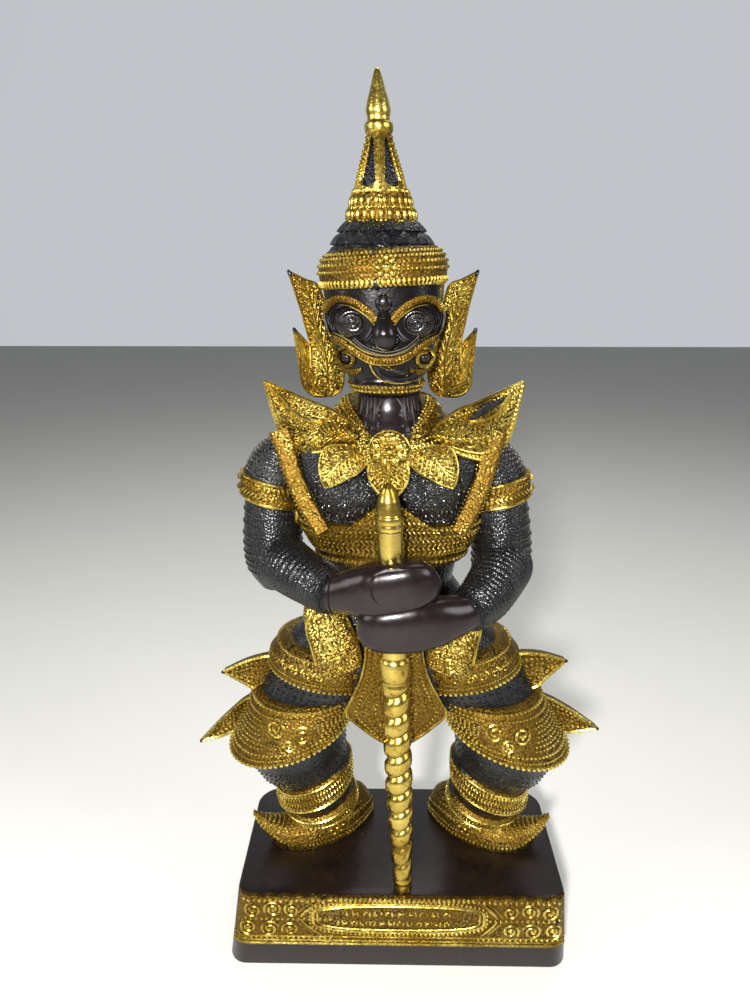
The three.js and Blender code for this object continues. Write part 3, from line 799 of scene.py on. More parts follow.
def build_neck():
    piece = Piece("neck", "dark_bronze", "skin")

    def grooves(angle, t, point):
        if abs(point.x) < 4.6 and point.y < 0:
            return 0.5
        return -0.75 * (0.5 - 0.5 * math.cos(angle * 15)) ** 3

    rings = [level(250, 18, 18, -3), level(254, 17.6, 18.4, -3.6), level(257.5, 17.2, 18.6, -4), level(260.5, 16.4, 17.4, -4),
             level(264, 14.6, 15.6, -3.8), level(268, 13.6, 14.2, -3.4), level(273, 13.2, 13.8, -3), level(278, 13.2, 13.8, -3)]
    bell = Skin(rings, smooth=True, relief=grooves)
    piece.add(bell.form(150, 6), move=SHIFT_NECK)
    surface = piece.surface()
    arch = laid(surface, [(-3.2, 262.0), (-3.4, 266), (-2.4, 270.6), (1.4, 273.4), (5.2, 270.6), (6.0, 266), (5.6, 262.0)], 0.2)
    piece.add(cord(arch, 0.7), 0)
    for x0, x1 in [(-8.6, -6.4), (10.8, 8.6), (-12.2, -9.4), (14.2, 11.4)]:
        line = laid(surface, [(x0, 259.5), (x0 * 0.97 + x1 * 0.03, 263), (x1, 268), (x1 * 0.96, 273)], 0.1)
        piece.add(cord(line, 0.55, taper=True), 0)
    lipped = laid(surface, [(-9.0, 259.6), (-4, 258.4), (1.2, 258.0), (6.4, 258.4), (11.4, 259.6)], 0.0)
    piece.add(cord(lipped, 1.3, 8, taper=True), 0)
    piece.finish()


def build_trunk():
    piece = Piece("trunk", "dark_bronze", "chest", "ground", "gilding", "cloth", "studs")
    dark, ground, gold, cloth, studs = 0, 1, 2, 3, 4
    body = Skin([
        level(132, 40, 20), level(140, 55, 23), level(150, 53, 22.4), level(158, 48.4, 21), level(166, 41.6, 20),
        level(176, 35.4, 18.4), level(188, 27.4, 17.4), level(197.6, 29.6, 18), level(199, 32.6, 20.2), level(213, 39.8, 22.4),
        level(218.4, 41.0, 23.2), level(219.6, 39.2, 20.4), level(238, 42, 21.6, 1), level(248, 41.6, 20.6, 2), level(257, 35.6, 16.8, 3),
        level(264, 21.6, 12.8, 3),
    ], power=2.5)

    def paint(point):
        if 198.4 < point.z < 219.2:
            return ground
        return cloth if point.z < 199 or point.z > 240 else dark

    piece.add(body.form(120, 4), paint=paint)
    muscle = tube(lambda angle, t: Vector((
        15.8 + 15.5 * math.sin(t * math.pi) * math.cos(angle),
        -15 - 8.6 * math.sin(t * math.pi) * math.sin(angle),
        233.5 + 15.4 * math.cos(t * math.pi))), 64, 40)
    piece.add(muscle, dark, mirror=True)
    surface = piece.surface()

    for share, radius, spacing, lift in [(8.16, 1.05, 2.2, 0.2), (8.42, 0.7, 1.5, 0.1), (9.1, 0.9, 1.9, 0.1), (9.75, 1.0, 2.1, 0.1)]:
        ring = body.ring(body.share(share), lift)
        piece.beads(beads_on(ring, spacing, radius, True), gold)
    for row in range(5):
        ring = body.ring(body.share(8.5 + 0.13 * row), 0.1)
        piece.beads(comb(ring, 2.2, (1.3, 0.55, 0.8), slant=38 if row % 2 else -38, closed=True), gold)

    slopes = [(24, -23.6, 214), (18.4, -24.4, 218), (11.4, -25.0, 223), (5.6, -25.2, 227.6), (0, -24.6, 231)]
    gable = [[(side * x, y, z) for x, y, z in slopes] for side in (-1, 1)]
    piece.add(blade(*gable, thickness=7, dome=0.4, columns=30, rows=24), ground)
    curves = [[Vector(row) for row in edge] for edge in gable]
    for v in (0.0, 1.0):
        edge = [blade_point(*curves, mix(0.2, 0.9, k / 24), v, 0.4, 0.2) for k in range(25)]
        piece.beads(beads_on(edge, 1.8, 0.8), gold)
    for row in range(7):
        u = mix(0.06, 0.72, row / 6)
        rung = [blade_point(*curves, u, v / 24, 0.4, 0.1) for v in range(25)]
        piece.beads(comb(rung, 2.1, (1.2, 0.5, 0.7), slant=35 if row % 2 else -35), gold)
    glints = []
    for row in range(17):
        for k in range(26):
            x = mix(-30, 30, (k + 0.5 * (row % 2)) / 25) + 0.5 * math.sin(row * 2.1 + k)
            spot = on(surface, x, 219.5 + 1.8 * row + 0.4 * math.sin(k * 1.3), 0.05)
            if spot is not None and spot.y < -12:
                glints.append((spot, Vector((math.sin(k * 2.7 + row), 0, math.cos(k * 2.7 + row))), (0.8, 0.3, 0.35)))
    piece.beads(glints, studs)
    # Dust-grey studs in rows over the hips
    for level_row in range(7):
        ring = body.ring(body.share(2.3 + 0.5 * level_row), 0.0, -78, 78)
        piece.beads(beads_on(ring, 3.0, 0.5), studs)
    piece.finish()


def build_collar():
    piece = Piece("collar", "gilding", "granular", "gilding", "cloth", "ground")
    ground, gold, dark, low_ground = 0, 1, 2, 3
    rows = [(32.4, 23.4, 244.6, 244.4), (33.8, 24.8, 247, 246.6), (28.6, 23.4, 257, 251.6), (22.4, 20.8, 266, 255.2),
            (18.6, 18.4, 270.2, 257.2), (16.6, 16.2, 270.8, 256.6)]
    columns = [[Vector((wide, deep, 0)) for wide, deep, _, _ in rows], [Vector((side, front, 0)) for _, _, side, front in rows]]

    def yoke(angle, t, lift=0.0):
        reach = along(columns[0], t)
        heights = along(columns[1], t)
        front = max(0.0, math.cos(angle)) ** 1.6
        drop = mix(heights.x, heights.y, front)
        return Vector(((reach.x + lift) * math.sin(angle) + 0.6, -1.6 - (reach.y + lift) * math.cos(angle), drop + lift * 0.6))

    piece.add(tube(yoke, 120, 30), ground)
    for share, radius, spacing in [(0.93, 0.8, 1.8), (0.82, 0.55, 1.4), (0.72, 0.8, 1.9), (0.5, 0.7, 1.7), (0.36, 0.85, 2.0)]:
        ring = [yoke(TAU * k / 120, share, 0.15) for k in range(120)]
        piece.beads(beads_on(ring, spacing, radius, True), gold)
    for share, slant in [(0.77, 30), (0.62, -30), (0.43, 30)]:
        ring = [yoke(TAU * k / 120, share, 0.1) for k in range(120)]
        piece.beads(comb(ring, 1.9, (1.3, 0.45, 0.8), slant=slant, closed=True), gold)

    side_a = [(10.5, -21, 252), (18, -22.4, 254), (25.4, -22, 253), (28.2, -22.6, 247), (28.2, -24, 241), (26.2, -25.6, 236.6)]
    side_b = [(10.5, -21, 252), (9.6, -25, 247), (12.4, -26.6, 243.4), (17.0, -26.8, 241), (21.6, -26.4, 238.4), (26.2, -25.6, 236.6)]
    middle_a = [(0, -23, 249), (-6.4, -25.4, 248), (-8.2, -26.6, 244), (-7.4, -27.2, 239.6), (-4.2, -27.4, 235), (0, -27, 231)]
    middle_b = [(-x, y, z) for x, y, z in middle_a]
    for edges, doubled in [((side_a, side_b), True), ((middle_a, middle_b), False)]:
        piece.add(blade(*edges, thickness=4.6, dome=1.2, columns=36, rows=12), ground, mirror=doubled)
        curves = [[Vector(row) for row in edge] for edge in edges]
        for v in (0.0, 1.0):
            rim = [blade_point(*curves, mix(0.02, 0.995, n / 36), v, 0, 0.1) for n in range(37)]
            piece.add(cord(rim, 0.5, 6), gold, mirror=doubled)
        middle = [blade_point(*curves, mix(0.1, 0.95, n / 24), 0.5, 1.2, 0.2) for n in range(25)]
        piece.add(cord(middle, 0.5, 5, taper=True), gold, mirror=doubled)
        for barb in feathers(curves, 1.2, 0.78, 0.075, 0.34, 0.16, 0.2):
            piece.add(cord(barb, 0.42, 5, taper=True), gold, mirror=doubled)

    centre = Vector((0.6, -27.4, 252.4))
    disc = [centre + Vector((8.2 * math.cos(a * TAU / 40), 1.6, 8.2 * math.sin(a * TAU / 40))) for a in range(41)]
    piece.add(Skin(limb([[0.6, -20, 252.4, 7.6], [0.6, -26.4, 252.4, 7.6], [0.6, -27.0, 252.4, 6.4]])).form(48, 2), ground)
    petals = []
    for k in range(8):
        angle = (k + 0.5) * TAU / 8
        way = Vector((math.cos(angle), 0, math.sin(angle)))
        petals.append((centre + way * 4.9 + Vector((0, 0.9, 0)), way, (2.7, 2.0, 1.3)))
        petals.append((centre + way * 5.2 + Vector((0, -0.2, 0)), way, (1.3, 0.5, 0.5)))
        petals.append((centre + way * 2.2 + Vector((0, 0.0, 0)), 0.7))
    petals.append((centre, 1.5))
    piece.beads(petals, gold, True)
    piece.add(cord([p + Vector((0, 0.6, 0)) for p in disc], 0.5), gold)

    def back(x, y=0.0):
        return y + min(0.0, (x - 46) * 0.55) - 3.4

    top = [(15, 259), (20, 263.6), (26, 267), (33, 269.0), (41, 271.6), (48, 274.2), (54.8, 277.4)]
    low = [(15, 259), (22, 252), (31, 247.0), (40, 245.0), (47.6, 250.6), (51.6, 262), (54.8, 277.4)]
    top3 = [(x, back(x), z) for x, z in top]
    low3 = [(x, back(x) - (2.0 if x < 42 else 0), z) for x, z in low]
    piece.add(blade(top3, low3, thickness=4.2, dome=3.0, columns=50, rows=22), ground, mirror=True, move=SHIFT_WINGS)
    curves = [[Vector(row) for row in edge] for edge in (top3, low3)]
    for v, radius in [(0.0, 0.9), (1.0, 0.9), (0.86, 0.45)]:
        rim = [blade_point(*curves, mix(0.02, 0.995, n / 50), v, 3.0, 0.2) for n in range(51)]
        piece.add(cord(rim, radius, 6), gold, mirror=True, move=SHIFT_WINGS)
    outer = [blade_point(*curves, mix(0.34, 0.97, n / 50), 0.93, 3.0, 0.3) for n in range(51)]
    piece.beads(beads_on(outer, 2.1, 0.95), gold, mirror=True, move=SHIFT_WINGS)
    inner = [blade_point(*curves, mix(0.3, 0.9, n / 40), 0.1, 3.0, 0.3) for n in range(41)]
    piece.beads(beads_on(inner, 1.7, 0.7), gold, mirror=True, move=SHIFT_WINGS)
    for barb in feathers(curves, 3.0, 0.8, 0.05, 0.36, 0.14, 0.2):
        piece.add(cord(barb, 0.55, 5, taper=True), gold, mirror=True, move=SHIFT_WINGS)
    # The wing's folded recess, deep and dark on the figure's left only, with a raised lip
    for side in (-1, 1):
        tall = 4.0 if side > 0 else 1.2
        edges = [[(side * x + SHIFT_WINGS, back(x) - bulge, z + rise * tall) for x, z, bulge, rise in
                  [(31, 262.6, 2.9, 0), (36, 264.0, 2.9, share), (42, 266.4, 2.1, share * 0.9), (48.6, 271.6, 1.3, 0)]] for share in (1, 0)]
        piece.add(blade(*edges, thickness=2, dome=0.2, columns=20, rows=6), dark if side > 0 else ground)
    lip = path([(30.6, back(30.6) - 3.4, 262.4), (37, back(37) - 3.4, 262.6), (43, back(43) - 2.6, 265.2), (49, back(49) - 1.8, 272.2)], 30)
    piece.add(cord(lip, 0.8), gold, mirror=True, move=SHIFT_WINGS)
    surface = piece.surface()
    for cx, cz, r in [(40.5, 253.5, 4.4), (32, 254, 3.4)]:
        for side in (-1, 1):
            curl = laid(surface, spiral(side * cx + SHIFT_WINGS, cz, r, 1.5, 90, side, 0.15), 0.3, 36)
            piece.add(cord(curl, 0.6, 5), gold)
    for side in (-1, 1):
        for k in range(3):
            rows = [(side * (30 - 5 * k) + SHIFT_WINGS, 267 - 2.6 * k), (side * (27 - 5 * k) + SHIFT_WINGS, 259 - 2 * k), (side * (21 - 4 * k) + SHIFT_WINGS / 2, 251 - 0.4 * k)]
            line = laid(surface, rows, 0.2)
            if len(line) > 3:
                piece.add(cord(line, 0.6, 5), gold)
    piece.finish()


def build_straps():
    """Straps that cross from the shoulders to the belt."""
    piece = Piece("straps", "gilding", "ground", "gilding")
    rows = [[46.4, -7.6, 257, 4.4, 1.6], [44, -9.8, 250, 4.3, 1.6], [41, -12.2, 239, 4.0, 1.6], [36, -16.6, 228, 3.8, 1.6],
            [28.6, -22.4, 216, 3.4, 1.6]]
    strap = Skin(limb(rows), smooth=True, power=4.0)
    piece.add(strap.form(28, 14), 0, mirror=True)
    for angle in (-58, 58):
        line = [strap.at(math.radians(angle), t / 60, 0.1) for t in range(61)]
        piece.beads(beads_on(line, 1.8, 0.75), 1, mirror=True)
    for angle, slant in ((-26, 40), (26, -40)):
        middle = [strap.at(math.radians(angle), t / 60, 0.1) for t in range(61)]
        piece.beads(comb(middle, 1.9, (1.25, 0.5, 0.8), slant=slant), 1, mirror=True)
    piece.finish()


# Arms


def knuckles(angle, row):
    """How far a hand rises at an angle: shallow ridges along its front, past its middle row."""
    if row < 6:
        return 0.0
    grip = smoothstep(6.2, 7.4, row)
    front = max(0.0, math.cos(angle))
    return grip * front * (0.9 * math.cos(8 * angle) - 0.5)


def build_arms():
    piece = Piece("arms", "dark_bronze", "cloth", "skin", "gilding", "ground", "studs")
    cloth, skin, gold, ground, studs = 0, 1, 2, 3, 4
    upper = Skin([
        tilted(185, 42, 58, 8, 0, -5), tilted(193, 38.6, 63.8, 12.4, 0, -2.5), tilted(206, 38.8, 65, 13.2, 0, -1),
        tilted(223.6, 38.4, 63, 12.6, -3.6, 1), tilted(235, 38.2, 62, 12.2, -3, 2), tilted(246, 34, 57.6, 11.6, 0, 2.6),
        tilted(254, 26, 52, 10, 3, 3), tilted(260, 24, 42, 6, 4, 3),
    ], smooth=True)
    piece.add(upper.form(56, 8), cloth, mirror=True, move=SHIFT_ARMS)
    dots = []
    for n in range(24):
        t = mix(0.14, 0.93, n / 23)
        if 0.42 < t < 0.58:
            continue
        dots += beads_on(upper.ring(t, 0.1, -125, 125, 48), 2.0, 0.56)
    piece.beads(dots, studs, mirror=True, move=SHIFT_ARMS)

    band = Skin([
        tilted(223.8, 37.6, 63.8, 13.4, -3.6, 1), tilted(224.6, 36.8, 64.9, 14.3, -3.6, 1), tilted(229, 36.6, 64.7, 14.5, -3.6, 1.6),
        tilted(233.6, 36.8, 64.1, 14.0, -3.6, 2), tilted(234.4, 37.8, 63.0, 13.2, -3.4, 2),
    ])
    piece.add(band.form(64, 2), ground, mirror=True, move=SHIFT_ARMS)
    for share, slant in [(0.39, 34), (0.63, -34)]:
        piece.beads(comb(band.ring(share, 0.1), 2.1, (2.2, 0.62, 1.0), slant=slant, closed=True), gold, mirror=True, move=SHIFT_ARMS)
    for share in (0.22, 0.8):
        rim = band.ring(share, 0.1, count=64)
        piece.add(cord(rim, 0.75, 6), gold, mirror=True, move=SHIFT_ARMS)

    sleeves = [
        ([[-52, 0, 196, 10], [-49.6, -6, 196.4, 12.2], [-43, -17, 197, 11.8], [-34, -26.4, 195, 10.4], [-26.6, -33, 193.2, 9.2],
          [-24.6, -34.4, 193.2, 8.4, 7]], (0, 0, 1)),
        ([[52, 0, 196, 10], [50.8, -6, 196, 12.6], [46.6, -15, 193, 12.0], [39.6, -26, 188, 10.6], [32.6, -33.4, 185.6, 9.2],
          [31, -34.8, 185.2, 8.2, 7]], (0, 0, -1)),
    ]
    for rows, side in sleeves:
        sleeve = Skin(limb(rows, side), smooth=True,
                      relief=lambda angle, t, point: 0.34 * math.cos(t * TAU * 27) * smoothstep(0.04, 0.16, t) * smoothstep(1.0, 0.9, t))
        piece.add(sleeve.form(60, 44), cloth)
        dots = []
        for n in range(22):
            dots += beads_on(sleeve.ring(mix(0.06, 0.92, n / 21), 0.2, -100, 100, 40), 2.0, 0.45)
        piece.beads(dots, studs)

    hands = [
        ([[-27, -33, 193, 8.6, 7], [-25, -34, 193.2, 8.2, 6.8], [-21, -36, 194.2, 8.8, 7.0], [-16, -38, 195.6, 9.8, 7.6],
          [-11, -39.4, 196.8, 10.6, 8.2], [-8, -40.2, 197.6, 11, 8.5], [-3, -40.6, 198.6, 11.1, 8.6], [3, -40.9, 199.8, 11, 8.6],
          [9, -40.8, 201.2, 10.4, 8.2], [14, -40, 202.6, 8.8, 6.8], [17, -39, 203.8, 6.2, 4.6], [18.2, -38.4, 204.4, 2.6, 2.0]], (0, 0, 1)),
        ([[33, -33.6, 185.8, 8.6, 7], [31, -34.6, 185.2, 8.2, 6.8], [27, -36.6, 184.6, 9.0, 7.0], [22, -38.4, 184.2, 10.2, 7.7],
          [17, -39.6, 183.6, 11, 8.2], [11, -40.4, 183, 11.5, 8.5], [6, -40.8, 182.4, 11.4, 8.6], [0, -41, 181.8, 11, 8.6],
          [-6, -40.8, 181.4, 10.2, 8.2], [-10.4, -40, 181.6, 8.6, 6.8], [-13, -39.2, 181.8, 6, 4.6], [-14.2, -38.6, 182, 2.6, 2.0]], (0, 0, -1)),
    ]
    for rows, side in hands:
        hand = Skin(limb(rows, side), smooth=True, power=lambda t: mix(2.0, 3.0, smoothstep(0.15, 0.5, t)),
                    relief=lambda angle, t, point: knuckles(angle, t * 11))
        piece.add(hand.form(96, 6), skin)
    surface = piece.surface()
    for rows in [[(-6.4, 207.4), (-8.6, 203), (-7.8, 198), (-4.6, 194.4)], [(-7.4, 206.6), (-2, 208.6), (6, 209.4), (14, 209.0)]]:
        piece.add(cord(laid(surface, rows, 0.0), 0.9, 6, taper=True), skin)
    wrist = path([(-25.4, -41.6, 201.2), (-26.6, -42.4, 196), (-26.6, -42.4, 190), (-25.4, -41.4, 185.2)], 20)
    piece.add(cord([Vector((p.x, on(surface, p.x, p.z, 0.3).y if on(surface, p.x, p.z, 0.3) else p.y, p.z)) for p in wrist], 0.6), skin)
    piece.beads([(on(surface, -41.8, 217.5, 0.2) or Vector((-41.8, -10, 217.5)), Vector((0.1, 0, 1)), (5.0, 1.4, 1.2))], gold, True)
    piece.finish()


# Skirts, wings and apron


def skirt_beads(piece, skin, rows, finish, mirror=True, move=0.0):
    for share, radius, spacing in rows:
        piece.beads(beads_on(skin.ring(share, 0.1, -180, 180, 120), spacing, radius, True), finish, mirror=mirror, move=move)


def build_upper_skirt():
    piece = Piece("upper_skirt", "gilding", "ground", "gilding", "cloth")
    ground, gold, dark = 0, 1, 2
    band = Skin([
        tilted(140.4, 4, 58.4, 22.8, -4, 0, 1), tilted(141.6, 4, 59.8, 24.8, -4, 0, 1), tilted(147, 4, 59.2, 25.4, -4, 0, 1),
        tilted(155, 2, 54.4, 24.2, -2, 0, 1), tilted(157, 2, 51.4, 21.6, -2, 0, 1),
    ])
    piece.add(band.form(96, 4), ground, mirror=True)
    surface = piece.surface()
    skirt_beads(piece, band, [(0.24, 1.15, 2.4), (0.37, 0.55, 1.4), (0.74, 0.8, 1.8)], gold)
    curls = []
    for spot, way in evenly(band.ring(0.55, 0.2, -100, 100, 120), 6.2):
        curls.append((spot, way))
    for spot, way in curls:
        if spot.y > -4:
            continue
        line = [spot + way * (r * math.cos(a)) + Vector((0, -0.35, r * math.sin(a)))
                for r, a in [(mix(2.5, 0.5, k / 14), mix(0, 9.0, k / 14)) for k in range(15)]]
        piece.add(cord(settled(surface, line, 0.2), 0.42, 4), gold, mirror=True)
    # Dark studded cloth between the two skirts
    cloth = Skin([tilted(128, 12, 66, 21.4, -1, 0, 1), tilted(134, 10, 62, 21.6, -2, 0, 1), tilted(144, 6, 56.5, 22.4, -4, 0, 1)])
    piece.add(cloth.form(80, 4), dark, mirror=True, move=SHIFT_LEGS / 2)
    studs = []
    for n in range(6):
        ring = cloth.ring(mix(0.08, 0.8, n / 5), 0.0, -120, 120, 80)
        studs += [(spot, 0.75 if (k + n) % 3 else 1.0) for k, (spot, _) in enumerate(evenly(ring, 3.4))]
    piece.beads(studs, dark, mirror=True, move=SHIFT_LEGS / 2)
    piece.finish()


def build_lower_skirt():
    piece = Piece("lower_skirt", "gilding", "ground", "gilding", "granular")
    ground, gold, grains = 0, 1, 2
    cuff = Skin([
        tilted(108.6, 25, 79.6, 23.4, 8, -4, 4), tilted(110.4, 23.2, 82.0, 26.4, 8, -4, 4), tilted(117, 21.8, 79.0, 26.1, 7, -3, 4),
        tilted(124, 18.6, 74.2, 25.2, 4.6, -2, 2.5), tilted(130.4, 15.8, 69.2, 23.6, 2, -1, 1), tilted(132, 16.8, 67.2, 21.4, 2, -1, 1),
    ])
    piece.add(cuff.form(110, 4), ground, mirror=True, move=SHIFT_LEGS / 2)
    rows = [(0.19, 1.35, 2.7), (0.27, 0.6, 1.5), (0.35, 0.95, 2.2), (0.73, 0.85, 1.9), (0.81, 1.15, 2.4)]
    skirt_beads(piece, cuff, rows, gold, move=SHIFT_LEGS / 2)
    grain = []
    for n in range(7):
        ring = cuff.ring(mix(0.42, 0.67, n / 6), 0.0, -180, 180, 90)
        grain += [(spot, 0.8 if (k + n) % 2 else 0.62) for k, (spot, _) in enumerate(evenly(ring, 2.3))
                  if not (abs(spot.x - 50) < 13 and spot.y < -15)]
    piece.beads(grain, gold, mirror=True, move=SHIFT_LEGS / 2)
    surface = piece.surface()
    for side in (-1, 1):
        cx = side * 50 + SHIFT_LEGS / 2
        for dx, dz, r, turn in [(-6.2, 1.8, 4.2, 1), (6.2, -0.2, 4.2, -1), (0, -4.4, 3.0, 1)]:
            curl = laid(surface, spiral(cx + dx, 119.5 + dz, r, 1.7, 60, turn * side, 0.15), 0.3, 36)
            piece.add(cord(curl, 0.65, 5), gold)
            piece.beads([(on(surface, cx + dx, 119.5 + dz, 0.3), 0.9)], gold)
    piece.finish()


def wing_blade(piece, side, root, tip, y):
    (x0, z0), (x1, z1) = root
    top = [(x0 - 9, y + 1, z0 - 2), (x0, y, z0 + 0.6), (mix(x0, tip[0], 0.5), y, mix(z0, tip[1], 0.5) + 1.6), (tip[0], y - 1, tip[1])]
    low = [(x1 - 12, y + 1, z1 + 4), (x1, y, z1 + 0.4), (mix(x1, tip[0], 0.45), y, mix(z1, tip[1], 0.45) - 0.6), (tip[0], y - 1, tip[1])]
    top = [(side * x, yy, z) for x, yy, z in top]
    low = [(side * x, yy, z) for x, yy, z in low]
    piece.add(blade(top, low, thickness=3.6, dome=-1.4, columns=36, rows=14), 0)
    curves = [[Vector(row) for row in edge] for edge in (top, low)]
    for v in (0.03, 0.97):
        rim = [blade_point(*curves, mix(0.02, 0.99, n / 30), v, 0, 0.4) for n in range(31)]
        piece.add(cord(rim, 0.95, 6), 1)
    for v, radius, reach in [(0.2, 1.05, 0.86), (0.8, 1.15, 0.84), (0.4, 0.8, 0.66), (0.6, 0.8, 0.62)]:
        line = [blade_point(*curves, mix(0.06, reach, n / 24), v, -1.4, 0.3) for n in range(25)]
        piece.beads(beads_on(line, 2.5, radius), 1)
    tip_point = blade_point(*curves, 0.985, 0.5, 0, 0.2)
    piece.beads([(tip_point, curves[0][-1] - curves[0][-2], (1.6, 0.9, 1.3))], 2, True)


def build_wings():
    """Pointed wings that stand out from both skirts."""
    piece = Piece("skirt_wings", "gilding", "ground", "gilding", "cloth")
    wing_blade(piece, -1, [(58, 146), (66, 127)], (82.3, 138), -1.6)
    wing_blade(piece, 1, [(58, 148), (66, 129)], (81.0, 145.4), -1.6)
    wing_blade(piece, -1, [(71, 123), (82, 103)], (96.8, 99.6), -1.6)
    wing_blade(piece, 1, [(71, 125), (82, 105)], (97.8, 108.6), -1.6)
    piece.finish()


def build_apron():
    piece = Piece("apron", "gilding", "ground", "gilding", "granular")
    ground, gold, grains = 0, 1, 2
    left = [(-12, -25.0, 167), (-12.6, -25.6, 158), (-15, -25.8, 148), (-20, -25.8, 137), (-22.4, -25.8, 130.6), (-16, -25.8, 123.4), (-8, -25.8, 117), (0, -25.8, 112.6)]
    right = [(-x, y, z) for x, y, z in left]
    piece.add(blade(left, right, thickness=7.4, dome=0.3, columns=50, rows=24), ground)
    curves = [[Vector(row) for row in edge] for edge in (left, right)]
    for v in (0.0, 1.0):
        rim = [blade_point(*curves, mix(0.0, 1.0, n / 50), v, 0, 0.2) for n in range(51)]
        piece.add(cord(rim, 0.8, 6), gold)
    for v in (0.1, 0.9, 0.2, 0.8):
        line = [blade_point(*curves, mix(0.02, 0.95, n / 50), v, 0.3, 0.1) for n in range(51)]
        piece.beads(beads_on(line, 2.1, 0.85 if v in (0.1, 0.9) else 0.6), gold)
    grain = []
    for k in range(15):
        for n in range(5):
            spot = blade_point(*curves, mix(0.1, 0.92, k / 14), mix(0.3, 0.7, n / 4), 0.3, 0.0)
            grain.append((spot, 0.85))
    piece.beads(grain, gold)

    panel_rows = [[-33.4, -13, 186, 3.4, 3.4], [-31.4, -19, 180, 8.4, 3.8], [-28.6, -22.6, 170, 9.8, 3.8], [-25.4, -24.2, 160, 11, 3.8],
                  [-22, -24.8, 152, 9, 3.8]]
    panel = Skin(limb(panel_rows, (-1, 0, 0)), smooth=True, power=2.6)
    piece.add(panel.form(44, 10), grains, mirror=True)
    surface = piece.surface()
    for side in (-1, 1):
        for cx, cz, r, turn, begin in [(-31.4, 176.4, 4.8, 1, 200), (-23.6, 174.6, 3.6, -1, 20), (-27.6, 165.4, 4.6, -1, 120),
                                       (-19.2, 165.0, 3.4, 1, 60), (-24.4, 156.8, 3.6, 1, 240)]:
            curl = laid(surface, spiral(-side * cx, cz, r, 1.8, begin, turn * side, 0.12), 0.35, 40)
            if len(curl) > 8:
                piece.add(cord(curl, 0.62, 5), gold)
        for rows in [[(-36.6, 180), (-38.0, 172), (-36.0, 164), (-34.6, 156)], [(-24.6, 182), (-19.6, 175), (-16.6, 168), (-14.6, 158)],
                     [(-33, 183), (-27, 180.6), (-21, 177.6)]]:
            line = laid(surface, [(-side * x, z) for x, z in rows], 0.2)
            if len(line) > 8:
                piece.add(cord(line, 0.6, 5), gold)
    piece.finish()


# Legs and shoes


def build_legs():
    piece = Piece("greaves", "gilding", "ground", "gilding", "cloth")
    ground, gold, dark = 0, 1, 2
    leg = Skin([
        tilted(50, 26, 55, 12.6, 2, 11, 2), tilted(55, 24.8, 56.8, 14.6, 2, 8, 2), tilted(57, 23.2, 58.8, 16.6, 3, 7, 3),
        tilted(62, 24.2, 60.8, 17.2, 4, 6, 4), tilted(63, 27, 58.2, 14.8, 4, 5, 3), tilted(69.4, 27, 60.8, 16.2, 6, 3, 2),
        tilted(70.4, 25.4, 63.2, 18.2, 6, 3, 2), tilted(81, 25.4, 63.2, 18.2, 8, 3, 2), tilted(82, 27, 62.4, 17.0, 8, 3, 2),
        tilted(89, 27.6, 69.8, 19.2, 8, 1, 2), tilted(96, 27.2, 73.8, 21.2, 7, 0, 2), tilted(112, 30.2, 75.8, 21.6, 6, -2, 2),
    ])

    def paint(point):
        share = point.z + (point.x - 44) * 0.3
        return dark if share > 82.2 or 63.2 < point.z - 0.15 * (44 - point.x) < 69.0 else ground

    count = len(leg.rings) - 1
    form = leg.form(84, 4)
    for face in form.faces:
        face.material_index = ground
    piece.add(form, paint=paint, mirror=True, move=SHIFT_LEGS)
    for row, radius, spacing in [(2.15, 0.8, 1.8), (2.9, 0.8, 1.8), (6.15, 0.9, 2.0), (6.85, 0.9, 2.0)]:
        piece.beads(beads_on(leg.ring(row / count, 0.1, count=90), spacing, radius, True), gold, mirror=True, move=SHIFT_LEGS)
    for row, slant in [(2.36, 30), (2.64, -30), (6.34, 30), (6.5, -30), (6.66, 30)]:
        piece.beads(comb(leg.ring(row / count, 0.05, count=90), 1.7, (1.4, 0.5, 0.75), slant=slant, closed=True), gold,
                    mirror=True, move=SHIFT_LEGS)
    for row in (1.95, 3.02, 6.0, 7.0):
        piece.add(cord(leg.ring(row / count, 0.1, count=72), 0.65, 5), gold, mirror=True, move=SHIFT_LEGS)
    studs = []
    for n in range(4):
        studs += beads_on(leg.ring((8.6 + 0.45 * n) / count, 0.0, -150, 150, 70), 3.0, 0.55)
    piece.beads(studs, dark, mirror=True, move=SHIFT_LEGS)
    piece.finish()


